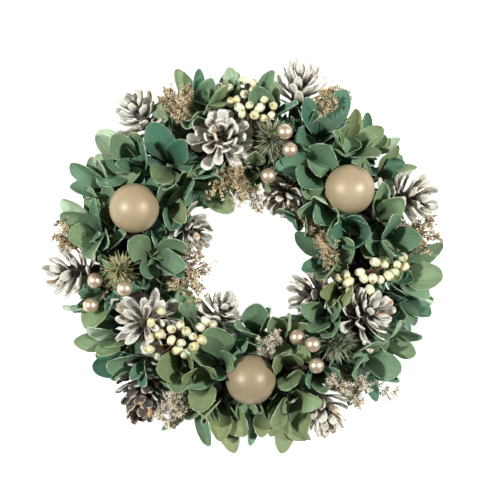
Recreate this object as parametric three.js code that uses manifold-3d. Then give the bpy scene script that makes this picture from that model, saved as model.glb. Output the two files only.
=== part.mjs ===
// A decorative pinecone wreath, lying face up on the surface it rests on: a twisted vine ring that
// carries three painted balls, whitewashed pinecones, cups of stiff green leaves, wax-berry sprays,
// pearl picks, fir heads and dried flower sprays. Millimetres, +Z up, origin on the surface below the
// middle of the wreath's outline.
import * as THREE from "three";
import { mergeVertices } from "three/addons/utils/BufferGeometryUtils.js";
import Module from "manifold-3d";

const wasm = await Module();
wasm.setup();

// driving dimensions
const RING_RADIUS = 98; // centreline of the vine ring
const TUBE_RADIUS = 18; // the ring's own thickness, halved
const TUBE_HEIGHT = 13.5; // centreline above the surface: under the tube radius, so the underside is flat
const VINE_RELIEF = 1.6; // how far the twisted vines stand out of the tube
const VINES = 5; // vines in the twist
const VINE_TURNS = 7; // turns of the twist round the ring
const GAP = 0.35; // clear gap left between pieces that touch
const BALL_RADIUS = 20;
const PEARL_RADIUS = 6.2;
const WIRE_RADIUS = 0.8;
const BERRY_RADIUS = 4.4;
const LEAF_THICKNESS = 1.1;
const LEAF_LENGTH = 32;
const LEAF_WIDTH = 23;
const LEAF_CUP = 4.2; // rise of a leaf's edges over its midrib
const LEAF_BOW = 3.2; // rise of the midrib over the line from root to tip
const SCALE_THICKNESS = 2.2;
const NEEDLE_RADIUS = 0.9;
const NEEDLE_LENGTH = 15;
const CONE_AROUND = 6; // scales in one ring
const CONE_ROWS = 6; // rows of scale roots from base to tip
const GOLDEN_ANGLE = THREE.MathUtils.degToRad(137.508);

const UP = new THREE.Vector3(0, 0, 1);
const at = ([x, y, z]) => new THREE.Vector3(x, y, z);

// An even spread of values from 0 to 1: draw k of the piece numbered n.
const vary = (n, k) => (n * 0.618034 + k * 0.754878 + n * k * 0.56984) % 1;

// closed shapes
function solidOf(geometry) {
  geometry.deleteAttribute("normal");
  geometry.deleteAttribute("uv");
  const merged = mergeVertices(geometry, 1e-4);
  const vertProperties = merged.getAttribute("position").array;
  const triVerts = new Uint32Array(merged.index.array);
  return new wasm.Manifold(new wasm.Mesh({ numProp: 3, vertProperties, triVerts }));
}

function shape(points, faces) {
  const geometry = new THREE.BufferGeometry();
  geometry.setAttribute("position", new THREE.Float32BufferAttribute(points.flatMap((p) => p.toArray()), 3));
  geometry.setIndex(faces.flat());
  return solidOf(geometry);
}

function placed(geometry, matrix) {
  geometry.applyMatrix4(matrix);
  return solidOf(geometry);
}

// A frame at a point, with its z axis along a direction.
function frameAt(point, direction, twist = 0) {
  const turn = new THREE.Quaternion().setFromUnitVectors(UP, direction.clone().normalize());
  const spin = new THREE.Quaternion().setFromAxisAngle(UP, twist);
  return new THREE.Matrix4().compose(point, turn.multiply(spin), new THREE.Vector3(1, 1, 1));
}

// A straight three-sided stem from one point to another, with its own radius at each end.
function twig(from, to, radiusFrom, radiusTo) {
  const length = from.distanceTo(to);
  const frame = frameAt(from, to.clone().sub(from), 0.4);
  const corner = (i, radius, z) => {
    const angle = (i * 2 * Math.PI) / 3;
    return new THREE.Vector3(radius * Math.cos(angle), radius * Math.sin(angle), z).applyMatrix4(frame);
  };
  const points = [0, 1, 2].map((i) => corner(i, radiusFrom, 0));
  points.push(...[0, 1, 2].map((i) => corner(i, radiusTo, length)));
  const sides = [0, 1, 2].flatMap((i) => {
    const j = (i + 1) % 3;
    return [[i, j, 3 + j], [i, 3 + j, 3 + i]];
  });
  return shape(points, [[0, 2, 1], [3, 4, 5], ...sides]);
}

// A three-sided needle: a blunt wedge that is as thick at its tip as a blade must be.
function spike(from, to, radius) {
  return twig(from, to, radius, radius * 0.55);
}

function ballSolid(centre, radius, around, down) {
  const geometry = new THREE.SphereGeometry(radius, around, down);
  geometry.rotateX(Math.PI / 2);
  geometry.translate(centre.x, centre.y, centre.z);
  return solidOf(geometry);
}

function facetBall(centre, radius, detail) {
  const geometry = new THREE.IcosahedronGeometry(radius, detail);
  geometry.translate(centre.x, centre.y, centre.z);
  return solidOf(geometry);
}

const join = (solids) => solids.reduce((whole, s) => whole.add(s));

// The biggest connected body of a solid: scraps that a cut leaves loose fall away.
function biggestBody(solid) {
  const mesh = solid.getMesh();
  const corners = mesh.triVerts;
  const owner = Array.from({ length: mesh.vertProperties.length / mesh.numProp }, (_, i) => i);
  const root = (i) => {
    while (owner[i] !== i) {
      owner[i] = owner[owner[i]];
      i = owner[i];
    }
    return i;
  };
  for (let i = 0; i < (mesh.mergeFromVert ?? []).length; i += 1) {
    owner[root(mesh.mergeFromVert[i])] = root(mesh.mergeToVert[i]);
  }
  for (let i = 0; i < corners.length; i += 3) {
    owner[root(corners[i])] = root(corners[i + 1]);
    owner[root(corners[i + 1])] = root(corners[i + 2]);
  }
  const volumes = new Map();
  const point = (i) => new THREE.Vector3().fromArray(mesh.vertProperties, i * mesh.numProp);
  for (let i = 0; i < corners.length; i += 3) {
    const key = root(corners[i]);
    const part = point(corners[i]).dot(point(corners[i + 1]).cross(point(corners[i + 2])));
    volumes.set(key, (volumes.get(key) ?? 0) + part);
  }
  const best = [...volumes.entries()].sort((a, b) => b[1] - a[1])[0][0];
  const kept = [];
  for (let i = 0; i < corners.length; i += 3) {
    if (root(corners[i]) === best) kept.push(corners[i], corners[i + 1], corners[i + 2]);
  }
  const geometry = new THREE.BufferGeometry();
  const positions = [];
  for (let i = 0; i < mesh.vertProperties.length; i += mesh.numProp) {
    positions.push(mesh.vertProperties[i], mesh.vertProperties[i + 1], mesh.vertProperties[i + 2]);
  }
  geometry.setAttribute("position", new THREE.Float32BufferAttribute(positions, 3));
  geometry.setIndex(kept);
  return geometry.toNonIndexed();
}

// the vine ring
function ringSolid(extra) {
  const around = 40;
  const across = 10;
  const points = [];
  const faces = [];
  for (let i = 0; i < around; i += 1) {
    const turn = (i / around) * 2 * Math.PI;
    for (let j = 0; j < across; j += 1) {
      const angle = (j / across) * 2 * Math.PI;
      const lobe = Math.cos(VINES * angle + VINE_TURNS * turn);
      const radius = TUBE_RADIUS - VINE_RELIEF + VINE_RELIEF * lobe + extra;
      const out = RING_RADIUS + radius * Math.cos(angle);
      const height = TUBE_HEIGHT + radius * Math.sin(angle);
      points.push(new THREE.Vector3(out * Math.cos(turn), out * Math.sin(turn), height));
      const a = i * across + j;
      const b = ((i + 1) % around) * across + j;
      const c = ((i + 1) % around) * across + ((j + 1) % across);
      const d = i * across + ((j + 1) % across);
      faces.push([a, b, c], [a, c, d]);
    }
  }
  return shape(points, faces);
}

function underside() {
  const geometry = new THREE.BoxGeometry(400, 400, 20);
  geometry.translate(0, 0, -10);
  return solidOf(geometry);
}

// The nearest point of the tube's centreline, and the way out of the tube towards a place.
function tubeBelow(place) {
  const flat = new THREE.Vector3(place.x, place.y, 0).normalize();
  return flat.multiplyScalar(RING_RADIUS).setZ(TUBE_HEIGHT);
}

// A short root that runs from a place into the tube of the ring, deep enough to hold it.
function rootStem(place, radius) {
  const core = tubeBelow(place);
  const inward = core.clone().sub(place);
  const depth = inward.length() - (TUBE_RADIUS - 4);
  const end = place.clone().addScaledVector(inward.normalize(), Math.max(depth, 4));
  return twig(end, place, radius * 1.2, radius);
}

// pinecones: an egg of woody scales in a spiral round a slim core
// centre, direction of the tip, widest radius, length, number of scales, how open the scales stand
const CONES = [
  ["pinecone_01", [-20, 96, 52], [0, 0.15, 1], 25, 38, 1],
  ["pinecone_02", [-83, 117, 27], [-0.55, 0.77, 0.3], 20, 46, 0.8],
  ["pinecone_03", [40, 138, 27], [0.27, 0.93, 0.25], 20, 44, 0.8],
  ["pinecone_04", [131, 46, 29], [0.92, 0.33, 0.3], 22, 46, 0.8],
  ["pinecone_05", [98, -44, 51], [0.25, 0.2, 1], 25, 38, 1],
  ["pinecone_06", [46, -29, 34], [-0.5, 0.3, 0.8], 18, 38, 0.8],
  ["pinecone_07", [-82, -52, 51], [-0.1, -0.05, 1], 24, 34, 1.2],
  ["pinecone_08", [-141, -12, 27], [-0.97, -0.1, 0.22], 20, 46, 0.8],
  ["pinecone_09", [-84, -113, 27], [-0.58, -0.76, 0.25], 20, 46, 0.8],
  ["pinecone_10", [-23, -43, 33], [0.35, 0.6, 0.75], 17, 38, 0.8],
  ["pinecone_11", [-42, 21, 33], [0.7, -0.35, 0.65], 17, 38, 0.8],
  ["pinecone_12", [28, 45, 32], [-0.35, -0.6, 0.7], 18, 38, 0.8],
  ["pinecone_13", [65, -119, 27], [0.47, -0.83, 0.25], 20, 46, 0.8],
];

// Radius of the cone's outline at a share of its length from base to tip.
function coneOutline(share, radius) {
  return radius * (0.34 + 0.66 * Math.sin(Math.PI * Math.min(0.97, 0.1 + 0.82 * share) ** 0.75) ** 0.8);
}

// Scales stand in rings, each ring turned by half a step, so that their roots tile the core in lozenges.
function coneSolid([, , , radius, length, open], place, apex) {
  const points = [];
  const faces = [];
  const add = (out, turn, height) => {
    points.push(new THREE.Vector3(out * Math.cos(turn), out * Math.sin(turn), height).applyMatrix4(place));
    return points.length - 1;
  };
  const step = (2 * Math.PI) / CONE_AROUND;
  const rootRow = (k) => {
    const share = k / (CONE_ROWS - 1);
    const out = radius * (0.2 + 0.16 * Math.sin(Math.PI * Math.min(1, share + 0.15)));
    const height = length * (-0.42 + 0.76 * share);
    return Array.from({ length: CONE_AROUND }, (_, i) => add(out, step * (i + k / 2), height));
  };
  const rows = Array.from({ length: CONE_ROWS }, (_, k) => rootRow(k));
  const wrap = (i) => (i + CONE_AROUND) % CONE_AROUND;
  for (let k = 0; k < CONE_ROWS - 2; k += 1) {
    for (let i = 0; i < CONE_AROUND; i += 1) {
      const turn = step * (i + k / 2);
      const share = (k + 1) / (CONE_ROWS - 1);
      const reach = coneOutline(share, radius) * (1 + 0.08 * (vary(i, k) - 0.5));
      const height = tipHeight(share, reach, length, open);
      const wide = reach * 0.44;
      const half = SCALE_THICKNESS / 2;
      const sideTurn = Math.atan2(wide, reach * 0.86);
      const sideOut = Math.hypot(wide, reach * 0.86);
      const low = add(reach, turn, height - half);
      const high = add(reach, turn, height + half);
      const right = add(sideOut, turn + sideTurn, height);
      const left = add(sideOut, turn - sideTurn, height);
      const root = [rows[k][i], rows[k + 1][i], rows[k + 2][wrap(i - 1)], rows[k + 1][wrap(i - 1)]];
      faces.push([root[0], root[1], low], [root[1], right, low]);
      faces.push([root[1], root[2], high], [root[1], high, right]);
      faces.push([root[2], root[3], high], [root[3], left, high]);
      faces.push([root[3], root[0], low], [root[3], low, left]);
      faces.push([low, right, high], [low, high, left]);
    }
  }
  const last = rows[CONE_ROWS - 1];
  const below = rows[CONE_ROWS - 2];
  const crown = add(0, 0, length * 0.5);
  points.push(apex);
  const foot = points.length - 1;
  for (let i = 0; i < CONE_AROUND; i += 1) {
    const j = wrap(i + 1);
    faces.push([rows[0][i], rows[0][j], rows[1][i]], [rows[0][j], rows[0][i], foot]);
    faces.push([below[j], last[j], last[i]], [last[i], last[j], crown]);
  }
  return shape(points, faces);
}

// Height of a scale's tip above the cone's middle, at a share of the rows.
function tipHeight(share, reach, length, open) {
  const rise = THREE.MathUtils.lerp(-0.1, 1.1, share ** (1.2 * open)) * reach * 0.55;
  return Math.min(length * (-0.42 + 0.76 * share) + rise, length * 0.5);
}

// The plain egg that a cone fills, with a clear margin.
function coneEnvelope([, , , radius, length, open], place) {
  const shares = Array.from({ length: CONE_ROWS - 2 }, (_, k) => (k + 1) / (CONE_ROWS - 1));
  const wide = (share) => coneOutline(share, radius) * 1.1 + 0.8;
  const high = (share) => tipHeight(share, coneOutline(share, radius), length, open);
  const profile = shares.map((share) => new THREE.Vector2(wide(share), high(share)));
  const foot = profile[0].clone().add(new THREE.Vector2(-0.3 * radius, -0.14 * length));
  const head = profile[profile.length - 1].clone().add(new THREE.Vector2(-1, 0)).setY(length / 2 + 2);
  const closed = [foot.clone().setX(0), foot, ...profile, head, head.clone().setX(0)];
  const geometry = new THREE.LatheGeometry(closed, 10);
  geometry.rotateX(Math.PI / 2);
  return placed(geometry, place);
}

function conePiece(row) {
  const [name, centre, direction, radius, length] = row;
  const place = frameAt(at(centre), at(direction));
  const base = new THREE.Vector3(0, 0, -0.42 * length).applyMatrix4(place);
  const core = tubeBelow(base);
  const apex = base.clone().lerp(core, Math.max(0.3, 1 - (TUBE_RADIUS - 8) / base.distanceTo(core)));
  const stub = base.distanceTo(apex);
  const stalkProfile = [[0, -1.5], [1.4, -0.6], [0.34 * radius, stub], [0, stub + 2]];
  const stalk = turned(frameAt(apex, base.clone().sub(apex)), 6, stalkProfile);
  const blocker = coneEnvelope(row, place).add(stalk);
  return { name, material: "cone", solid: coneSolid(row, place, apex), blocker };
}

// painted balls
const BALLS = [
  ["ball_left", [-90, 39, 53.6]],
  ["ball_right", [82, 54, 53.6]],
  ["ball_bottom", [3, -98, 53.6]],
];

function ballPiece([name, centre]) {
  const solid = join([ballSolid(at(centre), BALL_RADIUS, 16, 9), rootStem(at(centre), 2.2)]);
  const blocker = join([ballSolid(at(centre), BALL_RADIUS + 0.8, 12, 8), rootStem(at(centre), 2.2 + GAP)]);
  return { name, material: "ball", solid, blocker };
}

// pearl picks: beads on thin wires that spring from one knot on the ring
const PEARL_PICKS = [
  ["pearl_pick_top", [27, 84, 37], [[30, 99, 66], [34, 85, 62], [17, 65, 50]]],
  ["pearl_pick_left", [-112, -26, 33], [[-122, -19, 47], [-126, -39, 42], [-97, -25, 63]]],
  ["pearl_pick_right", [53, -78, 36], [[40, -64, 55], [52, -69, 66], [55, -86, 63]]],
];

function pearlPiece([name, knot, pearls]) {
  const made = (extra) => {
    const wires = pearls.map((p) => twig(at(knot), at(p), WIRE_RADIUS * 1.3 + extra, WIRE_RADIUS + extra));
    const beads = pearls.map((p) => facetBall(at(p), PEARL_RADIUS + extra * 1.6, 1));
    return join([...wires, ...beads, rootStem(at(knot), 1.6 + extra)]);
  };
  return { name, material: "pearl", solid: made(0), blocker: made(GAP) };
}

// wax-berry sprays: a spine from the ring, and a berry at the end of each side twig
const BERRY_SPRAYS = [
  [
    "berry_spray_top",
    [[2, 101, 37], [1, 118, 44], [-1, 136, 38]],
    [
      [-19, 137, 40], [-12, 126, 48], [-2, 131, 51], [-3, 143, 42], [8, 139, 43], [-5, 115, 54],
      [9, 112, 54], [16, 123, 49],
    ],
  ],
  [
    "berry_spray_left",
    [[-56, -68, 40], [-52, -64, 46], [-40, -62, 48]],
    [
      [-53, -54, 57], [-61, -67, 57], [-51, -69, 60], [-44, -60, 59], [-34, -53, 52],
      [-35, -66, 56], [-43, -73, 58], [-54, -78, 54],
    ],
  ],
  [
    "berry_spray_right",
    [[100, -12, 37], [104, -10, 44], [117, -6, 42]],
    [
      [102, -3, 54], [111, -5, 53], [125, 0, 46], [121, -9, 50], [112, -15, 53], [103, -18, 54],
      [93, -17, 56], [82, -17, 52],
    ],
  ],
];

// A berry on its stalk, turned round the line from the stalk's foot to the berry.
function berryOnStalk(from, centre, radius, stalk) {
  const length = from.distanceTo(centre);
  const frame = frameAt(from, centre.clone().sub(from));
  const stem = [[0, -0.3], [stalk, 0.4], [stalk, length - radius * 0.86]];
  const fruit = [[radius * 0.92, length - radius * 0.3], [radius * 0.86, length + radius * 0.42], [0, length + radius]];
  return turned(frame, 5, [...stem, ...fruit]);
}

// A closed turned body from its profile of radius and height, first and last points on the axis.
function turned(frame, sides, profile) {
  const points = [];
  const faces = [];
  profile.forEach(([radius, height], k) => {
    const count = radius === 0 ? 1 : sides;
    for (let i = 0; i < count; i += 1) {
      const turn = ((i + (k % 2) / 2) * 2 * Math.PI) / sides;
      const spot = new THREE.Vector3(radius * Math.cos(turn), radius * Math.sin(turn), height);
      points.push(spot.applyMatrix4(frame));
    }
  });
  const start = (k) => (k === 0 ? 0 : 1 + (k - 1) * sides);
  for (let i = 0; i < sides; i += 1) {
    const j = (i + 1) % sides;
    faces.push([0, 1 + j, 1 + i]);
    for (let k = 1; k < profile.length - 2; k += 1) {
      const low = start(k);
      const high = start(k + 1);
      const [a, b] = [low + i, low + j];
      const [c, d] = k % 2 ? [high + ((i + sides - 1) % sides), high + i] : [high + i, high + j];
      if (k % 2) faces.push([a, d, c], [a, b, d]);
      else faces.push([a, b, d], [a, d, c]);
    }
    const top = points.length - 1;
    const ring = start(profile.length - 2);
    faces.push([ring + i, ring + j, top]);
  }
  return shape(points, faces);
}

// The nearest point to a place on a bent line, a little short of the line's ends.
function nearestOn(joints, place) {
  const spots = [0, 1].map((i) => {
    const line = new THREE.Line3(joints[i], joints[i + 1]);
    const t = line.closestPointToPointParameter(place, true);
    return line.at(THREE.MathUtils.clamp(t, 0.06, 0.94), new THREE.Vector3());
  });
  return spots.sort((a, b) => a.distanceTo(place) - b.distanceTo(place))[0];
}

function berryPiece([name, spine, berries]) {
  const joints = spine.map(at);
  const made = (extra) => {
    const stems = [rootStem(joints[0], 2 + extra)];
    stems.push(twig(joints[0], joints[1], 1.9 + extra, 1.6 + extra));
    stems.push(twig(joints[1], joints[2], 1.6 + extra, 1 + extra));
    const fruit = berries.map(at).map((berry) => {
      const from = nearestOn(joints, berry);
      return berryOnStalk(from, berry, BERRY_RADIUS + extra * 1.4, 0.8 + extra);
    });
    return join([...stems, ...fruit]);
  };
  return { name, material: "berry", solid: made(0), blocker: made(GAP) };
}

// fir heads: a slim core with needles that stand out all round
const FIR_HEADS = [
  ["fir_top", [20, 95, 50], [0.1, 0.1, 1]],
  ["fir_left", [-101, -10, 50], [-0.1, 0.05, 1]],
  ["fir_right", [72, -67, 51], [0.1, -0.15, 1]],
];

function firPiece([name, centre, direction]) {
  const place = frameAt(at(centre), at(direction));
  const foot = new THREE.Vector3(0, 0, -9).applyMatrix4(place);
  const tip = new THREE.Vector3(0, 0, 8).applyMatrix4(place);
  const needles = [];
  for (let i = 0; i < 12; i += 1) {
    const share = (i + 0.5) / 12;
    const turn = i * GOLDEN_ANGLE;
    const rise = THREE.MathUtils.lerp(-0.1, 1.3, share);
    const from = new THREE.Vector3(0, 0, THREE.MathUtils.lerp(-6, 6, share));
    const flat = Math.cos(rise);
    const way = new THREE.Vector3(Math.cos(turn) * flat, Math.sin(turn) * flat, Math.sin(rise));
    const to = from.clone().addScaledVector(way, NEEDLE_LENGTH * (1 - 0.2 * share));
    needles.push(spike(from.applyMatrix4(place), to.applyMatrix4(place), NEEDLE_RADIUS));
  }
  const core = (extra) => turned(frameAt(foot, tip.clone().sub(foot)), 5,
    [[0, -1 - extra], [1.9 + extra, 0], [2.2 + extra, 9], [1.4 + extra, 16], [0, 17.5 + extra]]);
  const solid = join([core(0), ...needles, rootStem(foot, 1.6)]);
  const blocker = join([core(GAP), rootStem(foot, 1.6 + GAP)]);
  return { name, material: "fir", solid, blocker };
}

// dried sprays: a stem that forks into twigs with small papery flowers
const DRIED_SPRAYS = [
  ["dried_spray_01", [-50, 108, 32], [[-60, 134, 34], [-46, 135, 36], [-55, 122, 46]]],
  ["dried_spray_02", [-12, 72, 34], [[-24, 55, 42], [-4, 50, 38], [11, 50, 36]]],
  ["dried_spray_03", [52, 112, 30], [[66, 132, 30], [57, 140, 28], [72, 122, 32]]],
  ["dried_spray_04", [124, 18, 30], [[148, 17, 31], [144, 27, 28], [140, 8, 36]]],
  ["dried_spray_05", [66, 12, 36], [[49, 24, 42], [52, 9, 46], [46, 2, 34]]],
  ["dried_spray_06", [-130, 12, 28], [[-153, 14, 28], [-150, 25, 26]]],
  ["dried_spray_07", [-66, -14, 34], [[-38, -3, 36], [-36, -16, 34], [-46, -28, 36]]],
  ["dried_spray_08", [-54, -108, 30], [[-66, -124, 30], [-56, -131, 30], [-46, -126, 36]]],
  ["dried_spray_09", [16, -78, 36], [[10, -72, 48], [22, -62, 42]]],
  ["dried_spray_10", [78, -98, 32], [[72, -102, 48], [96, -104, 38], [118, -108, 28], [92, -120, 30]]],
];

function driedPiece([name, fork, tips]) {
  const fork0 = at(fork);
  const buds = tips.map(at).map((tip, i) => {
    const from = fork0.clone().lerp(tubeBelow(fork0), 0.02 + 0.1 * i);
    const length = from.distanceTo(tip);
    const frame = frameAt(from, tip.clone().sub(from));
    return turned(frame, 4, [[0, -1], [1.1, 0.3], [0.8, length - 4], [3, length - 0.6], [0, length + 1.4]]);
  });
  return { name, material: "dried", solid: join([rootStem(fork0, 1.7), ...buds]), blocker: null };
}

// leaf cups: spoon-shaped stiff leaves that spring from a hub. Each leaf row is the run of its tip from the hub
// seen from above, and its rise when that is given.
const LEAF_CUPS = [
  ["leaf_cups_01", [
    [[-37, 119, 36], [[-18, 31, 0], [-3, 32, 6], [12, 20], [-9, -17]]],
    [[-12, 130, 34], [[-1, 22, 8]]],
  ]],
  ["leaf_cups_02", [[[16, 118, 36], [[3, 31], [24, 8], [12, 20]]]]],
  ["leaf_cups_03", [
    [[58, 95, 40], [[-14, 27], [20, 34], [-20, 5], [14, 8]]],
    [[55, 70, 40], [[-31, 3], [-14, -13], [12, 14], [-3, -25, 8]]],
  ]],
  ["leaf_cups_04", [
    [[83, 86, 38], [[7, 34], [23, 20], [-14, 14], [19, -6]]],
    [[100, 84, 34], [[2, 30], [24, 8]]],
    [[110, 66, 34], [[7, 24], [21, 10], [22, -2]]],
  ]],
  ["leaf_cups_05", [
    [[106, 30, 38], [[6, 26], [16, 17]]],
    [[115, 13, 37], [[0, 18], [22, 3], [-20, -5], [3, -12]]],
  ]],
  ["leaf_cups_06", [
    [[66, 39, 38], [[-26, -2], [-10, 7], [6, -12]]],
    [[42, 32, 33], [[-15, 13], [-9, -4]]],
  ]],
  ["leaf_cups_07", [
    [[86, 20, 42], [[-22, -1], [10, 6], [-3, -14]]],
    [[68, -4, 38], [[-29, 20], [17, 14], [-25, -6], [-6, -13]]],
  ]],
  ["leaf_cups_08", [
    [[74, -26, 40], [[-7, -12], [-14, 2]]],
    [[62, -47, 38], [[-18, 10], [12, 10], [-10, -12]]],
  ]],
  ["leaf_cups_09", [
    [[123, -14, 32], [[32, -4], [24, -16], [30, 16]]],
    [[127, -35, 31], [[24, -2], [20, -14], [7, -20]]],
  ]],
  ["leaf_cups_10", [
    [[111, -68, 34], [[28, 4], [24, -10], [10, 16]]],
    [[94, -85, 38], [[29, -6], [-10, -8], [5, 18], [10, -29]]],
  ]],
  ["leaf_cups_11", [
    [[58, -94, 40], [[17, -9], [-12, -3], [4, -22]]],
    [[33, -90, 42], [[-11, 8], [3, -13], [3, 14]]],
  ]],
  ["leaf_cups_12", [
    [[33, -117, 33], [[-14, -26], [2, -40], [17, -31], [27, 0]]],
    [[14, -122, 30], [[-14, -29], [0, -22, 20]]],
  ]],
  ["leaf_cups_13", [
    [[28, -66, 38], [[-5, 20], [8, 18], [20, 14]]],
    [[6, -62, 37], [[-1, 23], [12, 20], [-13, 4], [4, -8]]],
  ]],
  ["leaf_cups_14", [
    [[-20, -84, 42], [[-4, 28], [10, 4], [-3, -13]]],
    [[-38, -96, 40], [[6, -25], [8, 9], [-11, 4]]],
  ]],
  ["leaf_cups_15", [
    [[-52, -86, 40], [[-17, -6], [-3, -20], [5, -30, 4]]],
  ]],
  ["leaf_cups_16", [
    [[-20, -118, 34], [[-16, -10], [-6, -30], [8, -38], [21, -22]]],
    [[-44, -118, 33], [[14, -34], [-8, -20], [10, -8]]],
  ]],
  ["leaf_cups_17", [
    [[-84, -85, 36], [[-27, 3], [-36, -12], [-4, -21], [13, -16]]],
  ]],
  ["leaf_cups_18", [
    [[-107, -68, 36], [[-20, 10], [-32, 0], [-10, -12]]],
    [[-114, -34, 34], [[-12, -22], [-20, 4], [-34, -5]]],
  ]],
  ["leaf_cups_19", [
    [[-72, -2, 38], [[23, 12], [23, -3], [-21, 15], [17, -16], [-9, -14]]],
  ]],
  ["leaf_cups_20", [
    [[-122, 19, 34], [[-25, 18], [7, 24], [-20, -5], [-2, -20]]],
    [[-118, 56, 34], [[-24, 15], [-8, 24], [-25, 3], [-12, -8]]],
  ]],
  ["leaf_cups_21", [
    [[-88, 74, 37], [[-32, -14], [-30, 22], [0, 32], [8, 10]]],
    [[-63, 74, 40], [[-12, 34], [14, 17], [-10, -14]]],
  ]],
  ["leaf_cups_22", [
    [[-60, 44, 38], [[2, -24], [13, -15], [-12, 6]]],
    [[-38, 60, 38], [[14, 4], [-10, -12], [22, -26]]],
  ]],
  ["leaf_cups_23", [[[5, 68, 36], [[3, 15, 26], [12, -12, 24]]]]],
];

// Rows of a leaf: share of its length, share of its half width, for the edges and for the midrib.
const LEAF_ROOT_RADIUS = 3;
const LEAF_ROWS = [
  { edge: 0.52, mid: 0.5, wide: 1 },
  { edge: 0.87, mid: 1, wide: 0.8 },
];

// The run of a leaf in space: its length is fixed, so a short run seen from above stands up steeply.
function leafRun(hub, [dx, dy, given]) {
  const flat = Math.hypot(dx, dy);
  const free = flat < LEAF_LENGTH ? Math.sqrt(LEAF_LENGTH ** 2 - flat ** 2) : 0;
  const outside = Math.hypot(hub.x + dx, hub.y + dy) > RING_RADIUS + 40;
  return new THREE.Vector3(dx, dy, given ?? Math.min(free, outside ? 10 : 27));
}

// A cup: a small hub with a leaf on some of its edges, and a root that tapers down to a foot point.
function cupSolid([hubPlace, leaves], foot, extra) {
  const hub = at(hubPlace);
  const axis = hub.clone().sub(tubeBelow(hub)).normalize().addScaledVector(UP, 0.6).normalize();
  const frame = frameAt(hub, axis);
  const inverse = frame.clone().invert();
  const local = leaves.map((leaf) => hub.clone().add(leafRun(hub, leaf)).applyMatrix4(inverse));
  const turns = local.map((tip) => Math.atan2(tip.y, tip.x));
  const order = local.map((_, i) => i).sort((i, j) => turns[i] - turns[j]);
  const points = [];
  const faces = [];
  const add = (x, y, z) => points.push(new THREE.Vector3(x, y, z).applyMatrix4(frame)) - 1;
  const corner = (turn) => {
    const out = LEAF_ROOT_RADIUS - 0.6;
    const under = LEAF_ROOT_RADIUS + 0.6 + extra;
    const top = add(out * Math.cos(turn), out * Math.sin(turn), 0.8 + extra);
    return { turn, top, low: add(under * Math.cos(turn), under * Math.sin(turn), -0.9 - extra) };
  };
  const gapAfter = order.map((i, k) => {
    const next = order[(k + 1) % order.length];
    const gap = turns[next] - turns[i];
    return order.length === 1 ? 2 * Math.PI : (gap + 2 * Math.PI) % (2 * Math.PI);
  });
  const most = 1.05;
  const corners = [];
  const blades = order.map((i, k) => {
    const before = Math.min(most, gapAfter[(k + order.length - 1) % order.length] / 2);
    const after = Math.min(most, gapAfter[k] / 2);
    const previous = corners[corners.length - 1];
    const shared = previous && Math.abs(previous.turn - (turns[i] - before)) < 1e-6;
    const from = shared ? previous : corner(turns[i] - before);
    if (!shared) corners.push(from);
    let to = corner(turns[i] + after);
    const closes = k === order.length - 1 && Math.abs(to.turn - 2 * Math.PI - corners[0].turn) < 1e-6;
    if (closes) {
      points.length -= 2;
      to = corners[0];
    } else {
      corners.push(to);
      const bare = gapAfter[k] - 2 * after;
      if (bare > 1.2) corners.push(corner(turns[i] + gapAfter[k] / 2));
    }
    return { tip: local[i], turn: turns[i], before, after, from, to };
  });
  for (const blade of blades) addLeaf(points, faces, frame, blade, extra);
  const joined = new Set(blades.map((b) => `${b.from.top} ${b.to.top}`));
  const middle = add(0, 0, 0.2);
  points.push(foot);
  const end = points.length - 1;
  corners.forEach((one, k) => {
    const two = corners[(k + 1) % corners.length];
    faces.push([middle, one.top, two.top], [end, two.low, one.low]);
    if (!joined.has(`${one.top} ${two.top}`)) {
      faces.push([one.top, one.low, two.low], [one.top, two.low, two.top]);
    }
  });
  return shape(points, faces);
}

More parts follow.
